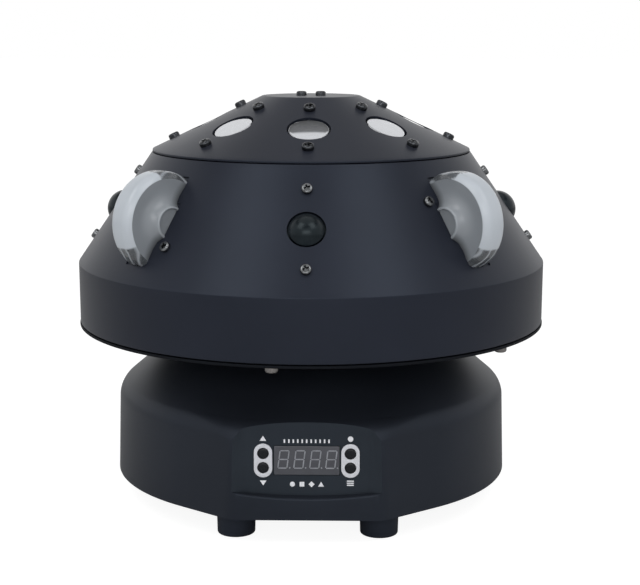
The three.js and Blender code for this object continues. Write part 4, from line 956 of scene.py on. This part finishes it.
def makeScrew(name, scale, height=None):
    sizes = {key: value * scale for key, value in screwSizes.items()}
    radius = sizes["radius"]
    top = height or sizes["height"]
    points = [(0, -sizes["sink"]), (radius, -sizes["sink"]), (radius, top), (0, top)]
    outline = rounded(points, [0, 0, sizes["edge"], 0], crossForm["steps"])
    head = turned(name, outline, crossForm["sides"])
    width = sizes["crossWidth"] / 2
    reach = sizes["crossReach"]
    floorBox = boxOutline(reach * crossForm["floorReach"], width * crossForm["floorWidth"])
    floor = [(x, y, top - sizes["crossDepth"]) for x, y in floorBox]
    mouth = [(x, y, top + crossForm["overTop"]) for x, y in boxOutline(reach, width)]
    for turn in (0, 90):
        blade = skinned("blade", [floor, mouth])
        blade.data.transform(Matrix.Rotation(math.radians(turn + crossForm["turn"]), 4, "Z"))
        carve(head, [blade])
    return head


flatTop = {"tilt": 0.0, "radius": 6.15, "height": crown}

# rings of screws: slope, how many, the first one's azimuth, how far up the slope and across it, scale
screwRings = {
    "capScrews": [
        (capSide, 8, 0, 23.8, 0, 1.1),
        (capSide, 8, 0, -23.8, 0, 1.1),
        (flatTop, 2, 90, 0, 0, 1.0),
    ],
    "coneScrews": [
        (steepSide, 4, 0, 25.5, 0, 1.0),
        (steepSide, 4, 0, -25.5, 0, 1.0),
        (steepSide, 4, 45, 14.2, -17.4, 1.0),
        (steepSide, 4, 45, -16.4, 18.2, 1.0),
    ],
}


def makeScrewRings(name, material):
    rings = []
    for side, count, first, up, across, scale in screwRings[name]:
        seat = upSlope(side, up)
        offset = math.degrees(math.atan2(across, seat["radius"]))
        rings.append(around("screwRing", makeScrew("screw", scale), count, first + offset, seat, material))
    dress(joined(name, rings), material, "head")


floorScrewSizes = {"azimuths": (-7.6, 52.4), "seatRadius": 145, "radius": 3.75, "height": 3.4}


def makeFloorScrews():
    sizes = floorScrewSizes
    seat = {"tilt": math.pi, "radius": sizes["seatRadius"], "height": cadLevel("head_floor_plate", 0)}
    scale = sizes["radius"] / screwSizes["radius"]
    screws = opposedPairs("floorScrews", lambda: makeScrew("screw", scale, sizes["height"]),
                          sizes["azimuths"], seat, screwDullPaintedShade)
    dress(screws, screwDullPaintedShade, "head")


makeScrewRings("capScrews", capScrewPaintedShade)
makeScrewRings("coneScrews", screwBlack)
makeFloorScrews()
print("screws are in")


# The base: drafted wall, flat front, rolled shoulder, sunken panel, and a flat recess behind

baseSizes = {
    "radius": 127.2, "draft": 1.8, "wallHeight": 47.8, "wallRows": 4, "shoulderRadius": 15,
    "shoulderTurn": 50, "shoulderSteps": 14, "wall": 2.6, "frontInset": 1.2, "facet": 37.5, "corner": 14,
    "cornerSteps": 10, "roundSteps": 200,
}
panelSizes = {
    "depth": 4, "halfWidth": 37, "flare": 9, "crease": 14.1, "creaseRise": 1.8, "lip": 12.9,
    "lipRise": 4, "lipSteps": 48, "edgeRound": 1.1, "edgeSteps": 6, "mouthReach": 0.6, "mouthRoll": 2,
}
panelTopSizes = {"round": 0.9, "segments": 4, "low": 14, "sideMargin": 0.3, "onFace": 0.02, "leastTurn": 12}
panelPaint = {"frontMargin": 0.3, "floorMargin": 0.5, "mostOutward": 0.5, "mostUpward": 0.3}
rearSizes = {"depth": 9.2, "halfWidth": 46, "low": 5.5, "high": 46, "padLow": 2.7}  # the flat recess
collarSizes = {"radius": 34.3, "wall": 2.7, "floor": 2, "floorReach": 3.6, "sides": 96}
baseLow = cadLevel("base_housing", 0)
plateau = cadLevel("base_housing", 1)
frontReach = baseSizes["radius"] - baseSizes["frontInset"]
panelFace = frontReach - panelSizes["depth"]
panelMiddle = (cadLevel("display_window", 0) + cadLevel("display_window", 1)) / 2
rearFace = baseSizes["radius"] - rearSizes["depth"]
rearMiddle = baseLow + (rearSizes["low"] + rearSizes["high"]) / 2
wallLean = baseSizes["wallHeight"] * math.tan(math.radians(baseSizes["draft"]))


# One level of the base: round, with facets that run on to a flat front.
def basePlan(radius, reach, corner, height):
    facet = math.radians(baseSizes["facet"])
    centreX = (radius - corner - (reach - corner) * math.cos(facet)) / math.sin(facet)
    ring = []

    def bend(x, y, r, start, end, steps):
        for i in range(steps + 1):
            angle = start + (end - start) * i / steps
            ring.append((x + r * math.sin(angle), y - r * math.cos(angle), height))

    bend(-centreX, corner - reach, corner, -facet, 0, baseSizes["cornerSteps"])
    bend(centreX, corner - reach, corner, 0, facet, baseSizes["cornerSteps"])
    bend(0, 0, radius, facet, 2 * math.pi - facet, baseSizes["roundSteps"])
    return ring


def baseForm(name, inset, reach, bottom):
    sizes = baseSizes
    wallTop = baseLow + sizes["wallHeight"]
    bend = sizes["shoulderRadius"] - inset
    turn = math.radians(sizes["shoulderTurn"])
    wallRadius = sizes["radius"] - wallLean - inset
    rings = []

    def addLevel(radius, height, roundness):
        front = reach * (1 - roundness) + radius * roundness
        corner = sizes["corner"] * (1 - roundness) + radius * roundness
        rings.append(basePlan(radius, front, corner, height))

    foot = wallRadius + (wallLean if inset == 0 else 0)
    for row in range(sizes["wallRows"]):
        share = row / sizes["wallRows"]
        addLevel(foot + (wallRadius - foot) * share, bottom + (wallTop - bottom) * share, 0)
    for i in range(sizes["shoulderSteps"] + 1):
        angle = turn * i / sizes["shoulderSteps"]
        addLevel(wallRadius - bend * (1 - math.cos(angle)), wallTop + bend * math.sin(angle),
                 i / sizes["shoulderSteps"])
    slopeStart = wallTop + bend * math.sin(turn)
    top = plateau - inset
    topRadius = wallRadius - bend * (1 - math.cos(turn)) - (top - slopeStart) * math.tan(turn)
    addLevel(topRadius, top, 1)
    return skinned(name, rings)


# The recess narrows towards its floor, and its mouth is rolled over into the front wall.
def panelCutter():
    sizes = panelSizes

    def rim(y, roll):
        share = (y - panelFace) / sizes["depth"]
        halfWidth = sizes["halfWidth"] + sizes["flare"] * share + roll
        crease = sizes["crease"] + (sizes["lip"] - sizes["crease"]) * share - roll
        rise = sizes["creaseRise"] + (sizes["lipRise"] - sizes["creaseRise"]) * share
        ring = [(halfWidth, -y, plateau), (-halfWidth, -y, plateau)]
        for i in range(sizes["lipSteps"] + 1):
            across = 2 * i / sizes["lipSteps"] - 1
            ring.append((halfWidth * across, -y, baseLow + crease + rise * across ** 2))
        return ring

    rings = [rim(panelFace, 0)]
    for k in range(sizes["edgeSteps"] + 1):
        angle = math.pi / 2 * k / sizes["edgeSteps"]
        y = frontReach - sizes["edgeRound"] * (1 - math.sin(angle))
        rings.append(rim(y, sizes["edgeRound"] * (1 - math.cos(angle))))
    rings.append(rim(frontReach + sizes["mouthReach"], sizes["edgeRound"] + sizes["mouthRoll"]))
    return skinned("panelCutter", rings)


# Rolls over the edge where the panel's face runs out through the shoulder.
def roundPanelTop(shell):
    sizes = panelTopSizes
    halfWidth = panelSizes["halfWidth"] - sizes["sideMargin"]
    form = bmesh.new()
    form.from_mesh(shell.data)
    edges = []
    for edge in form.edges:
        onFace = all(abs(vert.co.y / mm + panelFace) < sizes["onFace"] for vert in edge.verts)
        inside = all(abs(vert.co.x / mm) < halfWidth for vert in edge.verts)
        high = all(vert.co.z / mm > panelMiddle + sizes["low"] for vert in edge.verts)
        if onFace and inside and high and edge.is_manifold:
            if edge.calc_face_angle() > math.radians(sizes["leastTurn"]):
                edges.append(edge)
    bmesh.ops.bevel(form, geom=edges, offset=sizes["round"] * mm, segments=sizes["segments"], profile=0.5,
                    affect="EDGES", clamp_overlap=True)
    form.to_mesh(shell.data)
    form.free()
    print("panel's top edge rolled over:", len(edges), "edges")


# The recess's floor and sides are painted a little paler than the wall around them, as painted light
# against the shade in the recess.
def paintLightOnPanel(shell):
    mouth = panelSizes["halfWidth"] + panelSizes["flare"]
    shell.data.materials.append(panelBlackPaintedLighter)
    for polygon in shell.data.polygons:
        x, y, z = polygon.center / mm
        sunk = -frontReach + panelPaint["frontMargin"] < y < panelPaint["floorMargin"] - panelFace
        inPanel = sunk and abs(x) < mouth and z > baseLow + panelSizes["lip"]
        inward = x * polygon.normal.x < panelPaint["mostOutward"]
        upright = abs(polygon.normal.z) < panelPaint["mostUpward"]
        polygon.material_index = 1 if inPanel and inward and upright else 0


# Built along Z with Y up, then laid to look out of the front or the back.
faceFront = Matrix.Rotation(math.pi / 2, 4, "X")
faceBack = Matrix.Rotation(math.pi, 4, "Y") @ Matrix.Rotation(-math.pi / 2, 4, "X")


def laid(piece, side, x, z):
    piece.data.transform(Matrix.Translation((x * mm, 0, z * mm)) @ side)
    return piece


displaySizes = {
    "halfWidth": 19.15, "halfHeight": 8.65, "corner": 0.6, "soften": 0.2, "thickness": 2.3, "proud": 0.3,
    "gap": 0.3, "digits": 4, "digitWidth": 6.0, "digitHeight": 11.2, "pitch": 9.3, "slant": 0.13,
    "stroke": 0.7, "barGap": 0.25, "offsetX": 0.4, "offsetZ": 0.7, "sink": 0.3, "rise": 0.05,
    "dotRadius": 0.45, "dotX": 0.6, "dotZ": 0.5, "dotSides": 16,
}
buttonSizes = {
    "radius": 3.1, "gap": 0.3, "crown": 0.35, "crownFall": 0.08, "crownInset": 0.9, "pitch": 8.6,
    "offsetX": 25.5, "flangeRadius": 3.9, "flange": 1.0, "proud": 0.6, "rounds": [0, 0, 0, 0, 0.4, 0.8, 0],
    "sides": 64, "holeSides": 48,
}
buttonPlaces = {"up": (-1, 1), "down": (-1, -1), "enter": (1, 1), "menu": (1, -1)}  # side, level
plateSizes = {
    "width": 10.7, "height": 20.3, "thickness": 0.8, "endShare": 0.999, "endSteps": 20, "soften": 0.15,
    "holeReach": 2,
}
inletSizes = {
    "x": -28, "flangeX": 15.5, "flangeY": 12, "flange": 2.4, "flangeCorner": 2, "bodyX": 13.7, "bodyY": 10,
    "depth": 22, "cavityX": 12.2, "cavityY": 8.5, "cavity": 17, "cavityRound": 1, "keyCorner": 4,
    "pinX": 1, "pinY": 2, "pinCorner": 0.3, "pinSoften": 0.4, "pin": 11.5, "pitch": 7, "rise": 1.1,
}
socketSizes = {
    "inputX": 4.5, "outputX": 31.5, "flangeX": 12.8, "flangeY": 15, "flange": 2, "corner": 3,
    "barrel": 11.7, "depth": 20, "sides": 64, "cavity": 8.4, "cavityDepth": 14, "faceDepth": 2,
    "mouth": 0.6, "mouthLand": 0.01, "circle": 3.6, "pin": 1.25, "pinLength": 8.6, "pinRound": 0.8,
    "hole": 1.6, "pinSides": 24, "screwX": 9.9, "screwY": 11.9, "screwScale": 0.8,
}


def makeBaseShell():
    wall = baseSizes["wall"]
    frontInner = panelFace - wall
    rearInner = rearFace - wall
    shell = baseForm("baseShell", 0, frontReach, baseLow)
    carve(shell, [baseForm("hollow", wall, frontInner, baseLow - overshoot)])
    padHalf = rearSizes["halfWidth"] + wall
    pad = slab("pad", -padHalf, padHalf, rearInner, wellOut, baseLow + rearSizes["padLow"],
               baseLow + rearSizes["high"] + wall)
    carve(pad, [baseForm("outer", 0, frontReach, baseLow)], "INTERSECT")
    carve(shell, [pad, makeCollar(wall)], "UNION")
    carve(shell, [panelCutter()] + frontCutters(frontInner) + [
        rod("bore", collarSizes["radius"], plateau - wall * 2, plateau + overshoot),
    ] + rearCutters(rearInner - overshoot))
    roundPanelTop(shell)
    dress(shell, baseBlack, "base", ["base_housing"])
    paintLightOnPanel(shell)


# The ring under the base's top that holds the turntable bearing.
def makeCollar(wall):
    radius = collarSizes["radius"]
    inner = radius - collarSizes["floorReach"]
    outer = radius + collarSizes["wall"]
    low = cadLevel("bearing_outer_ring", 0) - clearance - collarSizes["floor"]
    floor = low + collarSizes["floor"]
    top = plateau - wall / 2
    points = [(inner, low), (outer, low), (outer, top), (radius, top), (radius, floor), (inner, floor)]
    return turned("collar", points, collarSizes["sides"])


def frontCutters(inner):
    halfWidth = displaySizes["halfWidth"] + displaySizes["gap"]
    halfHeight = displaySizes["halfHeight"] + displaySizes["gap"]
    cutters = [slab("windowHole", -halfWidth, halfWidth, -wellOut, overshoot - inner,
                    panelMiddle - halfHeight, panelMiddle + halfHeight)]
    for side, up in buttonPlaces.values():
        hole = rod("buttonHole", buttonSizes["radius"] + buttonSizes["gap"], inner - overshoot, wellOut,
                   buttonSizes["holeSides"])
        z = panelMiddle + up * buttonSizes["pitch"] / 2
        cutters.append(laid(hole, faceFront, side * buttonSizes["offsetX"], z))
    return cutters


def rearCutters(inner):
    half = rearSizes["halfWidth"]
    recess = slab("recess", -half, half, rearFace, wellOut, baseLow + rearSizes["low"],
                  baseLow + rearSizes["high"])
    inletBox = boxOutline(inletSizes["bodyX"] + clearance, inletSizes["bodyY"] + clearance)
    inletHole = prism("inletHole", inletBox, inner, wellOut)
    cutters = [recess, laid(inletHole, faceBack, inletSizes["x"], rearMiddle)]
    for x in (socketSizes["inputX"], socketSizes["outputX"]):
        hole = rod("socketHole", socketSizes["barrel"] + clearance, inner, wellOut, socketSizes["sides"])
        cutters.append(laid(hole, faceBack, x, rearMiddle))
    return cutters


ventSizes = {
    "count": 6, "pitch": 7, "inset": 45.2, "halfWidth": 1.6, "halfLength": 20, "corner": 1.58, "steps": 6,
}


def makeBottomPlate():
    sizes = ventSizes
    inset = baseSizes["wall"] + clearance
    radius = baseSizes["radius"] - inset - wallLean
    low = cadLevel("base_bottom_plate", 0)
    high = cadLevel("base_bottom_plate", 1)
    plan = basePlan(radius, panelFace - baseSizes["wall"] - clearance, baseSizes["corner"], 0)
    plate = prism("bottomPlate", [point[:2] for point in plan], low, high)
    vent = roundBox(sizes["halfWidth"], sizes["halfLength"], sizes["corner"], sizes["steps"])
    vents = []
    for side in (-1, 1):
        middle = side * (baseSizes["radius"] - sizes["inset"])
        for i in range(sizes["count"]):
            x = middle + (i - (sizes["count"] - 1) / 2) * sizes["pitch"]
            vents.append(prism("vent", atPlace(vent, x, 0), low - overshoot, high + overshoot))
    carve(plate, vents)
    dress(plate, underBlackPaintedShade, "base", ["base_bottom_plate"])


footSizes = {
    "azimuths": (23.3, -23.3), "seatRadius": 108.85, "radius": 11.4, "topRadius": 11.8, "recessRadius": 4.5,
    "recess": 8, "rounds": [0, 0.4, 0.5, 1.2, 0.3, 0], "sides": 96, "screwScale": 1.1,
}


def makeFeet():
    sizes = footSizes
    points = [(0, sizes["recess"]), (sizes["recessRadius"], sizes["recess"]), (sizes["recessRadius"], 0),
              (sizes["radius"], 0), (sizes["topRadius"], baseLow), (0, baseLow)]
    outline = rounded(points, sizes["rounds"])
    seat = {"tilt": 0.0, "radius": sizes["seatRadius"], "height": 0.0}
    feet = opposedPairs("rubberFeet", lambda: turned("foot", outline, sizes["sides"]), sizes["azimuths"],
                        seat, rubber)
    dress(feet, rubber, "base",
          ["foot_front_left", "foot_front_right", "foot_rear_left", "foot_rear_right"])
    screwSeat = {"tilt": math.pi, "radius": sizes["seatRadius"], "height": sizes["recess"]}
    screws = opposedPairs("footScrews", lambda: makeScrew("screw", sizes["screwScale"]), sizes["azimuths"],
                          screwSeat, screwBright)
    dress(screws, screwBright, "base")


makeBaseShell()
makeBottomPlate()
makeFeet()
print("the base is cut")


# Display, button plates, buttons and the plain marks beside them

# A display bar along X with pointed ends.
def segmentBar(length, width):
    half = length / 2
    side = width / 2
    inner = half - side
    return [(-half, 0), (-inner, -side), (inner, -side), (half, 0), (inner, side), (-inner, side)]


# The seven bars of a digit: middle, turn and length.
def digitBars():
    sizes = displaySizes
    wide = sizes["digitWidth"] - sizes["stroke"]
    tall = (sizes["digitHeight"] - sizes["stroke"]) / 2
    bars = [(0, level * tall, 0, wide - sizes["barGap"]) for level in (-1, 0, 1)]
    for side in (-1, 1):
        for level in (-1, 1):
            bars.append((side * wide / 2, level * tall / 2, 90, tall - sizes["barGap"]))
    return bars


def makeDisplay():
    sizes = displaySizes
    face = panelFace + sizes["proud"]
    outline = roundBox(sizes["halfWidth"], sizes["halfHeight"], sizes["corner"])
    window = soften(prism("displayWindow", outline, face - sizes["thickness"], face), sizes["soften"])
    dress(laid(window, faceFront, 0, panelMiddle), smokedWindow, "base", ["display_window"])
    outlines = []
    for place in range(sizes["digits"]):
        middle = (place - (sizes["digits"] - 1) / 2) * sizes["pitch"] + sizes["offsetX"]
        for x, y, turn, length in digitBars():
            angle = math.radians(turn)
            bar = []
            for u, v in segmentBar(length, sizes["stroke"]):
                px = x + u * math.cos(angle) - v * math.sin(angle)
                py = y + u * math.sin(angle) + v * math.cos(angle)
                bar.append((middle + px + sizes["slant"] * py, py + sizes["offsetZ"]))
            outlines.append(bar)
        dotX = middle + sizes["digitWidth"] / 2 + sizes["dotX"]
        dotY = -sizes["digitHeight"] / 2 + sizes["offsetZ"] + sizes["dotZ"]
        outlines.append(atPlace(circle(sizes["dotRadius"], sizes["dotSides"]), dotX, dotY))
    strokes = [prism("stroke", outline, face - sizes["sink"], face + sizes["rise"]) for outline in outlines]
    dress(laid(joined("displayDigits", strokes), faceFront, 0, panelMiddle), segmentGrey, "base")


def makeButtonPlate(side, label):
    sizes = plateSizes
    face = panelFace + sizes["thickness"]
    halfWidth = sizes["width"] / 2
    outline = roundBox(halfWidth, sizes["height"] / 2, halfWidth * sizes["endShare"], sizes["endSteps"])
    plate = prism("buttonPlate" + label, outline, panelFace, face)
    for up in (-1, 1):
        hole = rod("hole", buttonSizes["radius"] + buttonSizes["gap"], panelFace - sizes["holeReach"],
                   face + sizes["holeReach"], buttonSizes["sides"])
        carve(plate, [moved(hole, 0, up * buttonSizes["pitch"] / 2, 0)])
    soften(plate, sizes["soften"])
    laid(plate, faceFront, side * buttonSizes["offsetX"], panelMiddle)
    dress(plate, paleGrey, "base", ["button_plate_" + label.lower()])


def makeButtons():
    sizes = buttonSizes
    makeButtonPlate(-1, "Left")
    makeButtonPlate(1, "Right")
    radius = sizes["radius"]
    flangeFront = panelFace - baseSizes["wall"] - clearance
    flangeBack = flangeFront - sizes["flange"]
    top = panelFace + plateSizes["thickness"] + sizes["proud"]
    points = [
        (0, flangeBack), (sizes["flangeRadius"], flangeBack), (sizes["flangeRadius"], flangeFront),
        (radius, flangeFront), (radius, top - sizes["crown"]),
        (radius - sizes["crownInset"], top - sizes["crownFall"]), (0, top),
    ]
    outline = rounded(points, sizes["rounds"])
    for name, (side, up) in buttonPlaces.items():
        button = turned("button" + name.capitalize(), outline, sizes["sides"])
        laid(button, faceFront, side * sizes["offsetX"], panelMiddle + up * sizes["pitch"] / 2)
        dress(button, buttonBlack, "button_" + name, ["button_" + name])


markSizes = {
    "sink": 0.2, "rise": 0.06, "half": 1.7, "aboveZ": 13.1, "belowZ": -13.6,
    "arrowHalf": 1.15, "arrowFoot": 0.8, "ring": 0.95, "ringSides": 40,
    "lineHalf": 1.2, "lineThickness": 0.35, "linePitch": 1.25,
    "bars": 11, "barPitch": 2.6, "barWidth": 0.9, "barHeight": 2.2, "barZ": 11.7, "signZ": -14.4,
}
# plain signs in a row under the display, each with the place of its middle
signs = [
    (circle(1.5, markSizes["ringSides"]), -8.4),
    (boxOutline(1.4, 1.4), -2.8),
    ([(0, -1.8), (1.8, 0), (0, 1.8), (-1.8, 0)], 2.8),
    ([(-1.7, -1.4), (1.7, -1.4), (0, 1.6)], 8.4),
]


def makeMarks():
    sizes = markSizes
    half = sizes["half"]
    x = buttonSizes["offsetX"]
    above = sizes["aboveZ"]
    below = sizes["belowZ"]
    arrowX = half * sizes["arrowHalf"]
    arrowY = half * sizes["arrowFoot"]
    marks = [
        atPlace([(-arrowX, -arrowY), (arrowX, -arrowY), (0, half)], -x, above),
        atPlace([(-arrowX, arrowY), (0, -half), (arrowX, arrowY)], -x, below),
        atPlace(circle(half * sizes["ring"], sizes["ringSides"]), x, above),
    ]
    line = boxOutline(half * sizes["lineHalf"], sizes["lineThickness"])
    marks += [atPlace(line, x, below + step * sizes["linePitch"]) for step in (-1, 0, 1)]
    bar = boxOutline(sizes["barWidth"] / 2, sizes["barHeight"] / 2)
    for i in range(sizes["bars"]):
        marks.append(atPlace(bar, (i - (sizes["bars"] - 1) / 2) * sizes["barPitch"], sizes["barZ"]))
    marks += [atPlace(sign, middle, sizes["signZ"]) for sign, middle in signs]
    prints = [prism("mark", mark, panelFace - sizes["sink"], panelFace + sizes["rise"]) for mark in marks]
    dress(laid(joined("panelMarks", prints), faceFront, 0, panelMiddle), printWhite, "base")


makeDisplay()
makeButtons()
makeMarks()
print("the panel is dressed")


# Sockets at the back

def makeInlet():
    sizes = inletSizes
    face = rearFace + sizes["flange"]
    floor = face - sizes["cavity"]
    flange = roundBox(sizes["flangeX"], sizes["flangeY"], sizes["flangeCorner"])
    block = boxOutline(sizes["bodyX"], sizes["bodyY"])
    inlet = prism("powerInlet", flange, rearFace, face)
    carve(inlet, [prism("block", block, face - sizes["depth"], face - overlap)], "UNION")
    x = sizes["cavityX"]
    y = sizes["cavityY"]
    key = sizes["keyCorner"]
    keyed = [(-x, -y), (x, -y), (x, y - key), (x - key, y), (-x + key, y), (-x, y - key)]
    radii = [sizes["cavityRound"]] * len(keyed)
    carve(inlet, [prism("cavity", rounded(keyed, radii), floor, face + overshoot)])
    dress(laid(inlet, faceBack, sizes["x"], rearMiddle), socketBlack, "base", ["power_inlet"])
    pins = []
    blade = roundBox(sizes["pinX"], sizes["pinY"], sizes["pinCorner"])
    for place, rise in ((-1, -sizes["rise"]), (0, sizes["rise"]), (1, -sizes["rise"])):
        outline = atPlace(blade, place * sizes["pitch"], rise)
        pin = prism("pin", outline, floor - overlap, floor + sizes["pin"])
        pins.append(soften(pin, sizes["pinSoften"]))
    dress(laid(joined("inletPins", pins), faceBack, sizes["x"], rearMiddle), screwBright, "base")


# A round data socket, with pins in a deep cavity or with holes near its face.
def makeSocket(name, node, x, hasPins):
    sizes = socketSizes
    face = rearFace + sizes["flange"]
    floor = face - sizes["cavityDepth" if hasPins else "faceDepth"]
    flange = roundBox(sizes["flangeX"], sizes["flangeY"], sizes["corner"])
    socket = prism(name, flange, rearFace, face)
    barrel = rod("barrel", sizes["barrel"], face - sizes["depth"], face - overlap, sizes["sides"])
    carve(socket, [barrel], "UNION")
    radius = sizes["cavity"]
    mouth = radius + sizes["mouth"]
    cavity = [
        (0, floor), (radius, floor), (radius, face - sizes["mouth"]), (mouth, face + sizes["mouthLand"]),
        (mouth, face + overshoot), (0, face + overshoot),
    ]
    carve(socket, [turned("cavity", cavity, sizes["sides"])])
    circleAngles = (math.pi / 2, math.pi, 3 * math.pi / 2)
    spots = [(sizes["circle"] * math.cos(a), -sizes["circle"] * math.sin(a)) for a in circleAngles]
    if not hasPins:
        deep = face - sizes["cavityDepth"]
        for u, v in spots:
            hole = rod("hole", sizes["hole"], deep, face + overlap, sizes["pinSides"])
            carve(socket, [moved(hole, u, v, 0)])
    dress(laid(socket, faceBack, x, rearMiddle), socketBlack, "base", [node])
    if hasPins:
        root = floor - overlap
        tip = floor + sizes["pinLength"]
        points = [(0, root), (sizes["pin"], root), (sizes["pin"], tip), (0, tip)]
        outline = rounded(points, [0, 0, sizes["pinRound"], 0])
        pins = [moved(turned("pin", outline, sizes["pinSides"]), u, v, 0) for u, v in spots]
        dress(laid(joined("dataPins", pins), faceBack, x, rearMiddle), screwBright, "base")


def makeSocketScrews():
    sizes = socketSizes
    screws = []
    for middle in (sizes["inputX"], sizes["outputX"]):
        for side in (-1, 1):
            screw = moved(makeScrew("screw", sizes["screwScale"]), 0, 0, rearFace + sizes["flange"])
            x = middle + side * sizes["screwX"]
            screws.append(laid(screw, faceBack, x, rearMiddle + side * sizes["screwY"]))
    dress(joined("socketScrews", screws), screwBlack, "base")


makeInlet()
makeSocket("dataInput", "dmx_input_socket", socketSizes["inputX"], True)
makeSocket("dataOutput", "dmx_output_socket", socketSizes["outputX"], False)
makeSocketScrews()
print("the sockets are in")


# The neck between base and head

hubSizes = {
    "bore": 13, "neck": 21, "collar": 25.4, "flareRadius": 33, "radius": 38, "thickness": 4,
    "rounds": [0.5, 0.5, 0, 0.4, 1.5, 0.6, 0.4, 0.4], "sides": 128,
}


def makeHub():
    sizes = hubSizes
    low = cadLevel("head_hub", 0)
    top = cadLevel("head_hub", 1)
    ledge = cadLevel("bearing_outer_ring", 1) + clearance
    flange = top - sizes["thickness"]
    points = [
        (sizes["bore"], low), (sizes["neck"], low), (sizes["neck"], ledge), (sizes["collar"], ledge),
        (sizes["flareRadius"], flange), (sizes["radius"], flange), (sizes["radius"], top),
        (sizes["bore"], top),
    ]
    hub = turned("headHub", rounded(points, sizes["rounds"]), sizes["sides"])
    dress(hub, darkAluminium, "head", ["head_hub"])


makeHub()
dressCadNodes()
print("the neck is turned and the inner parts have their finishes")
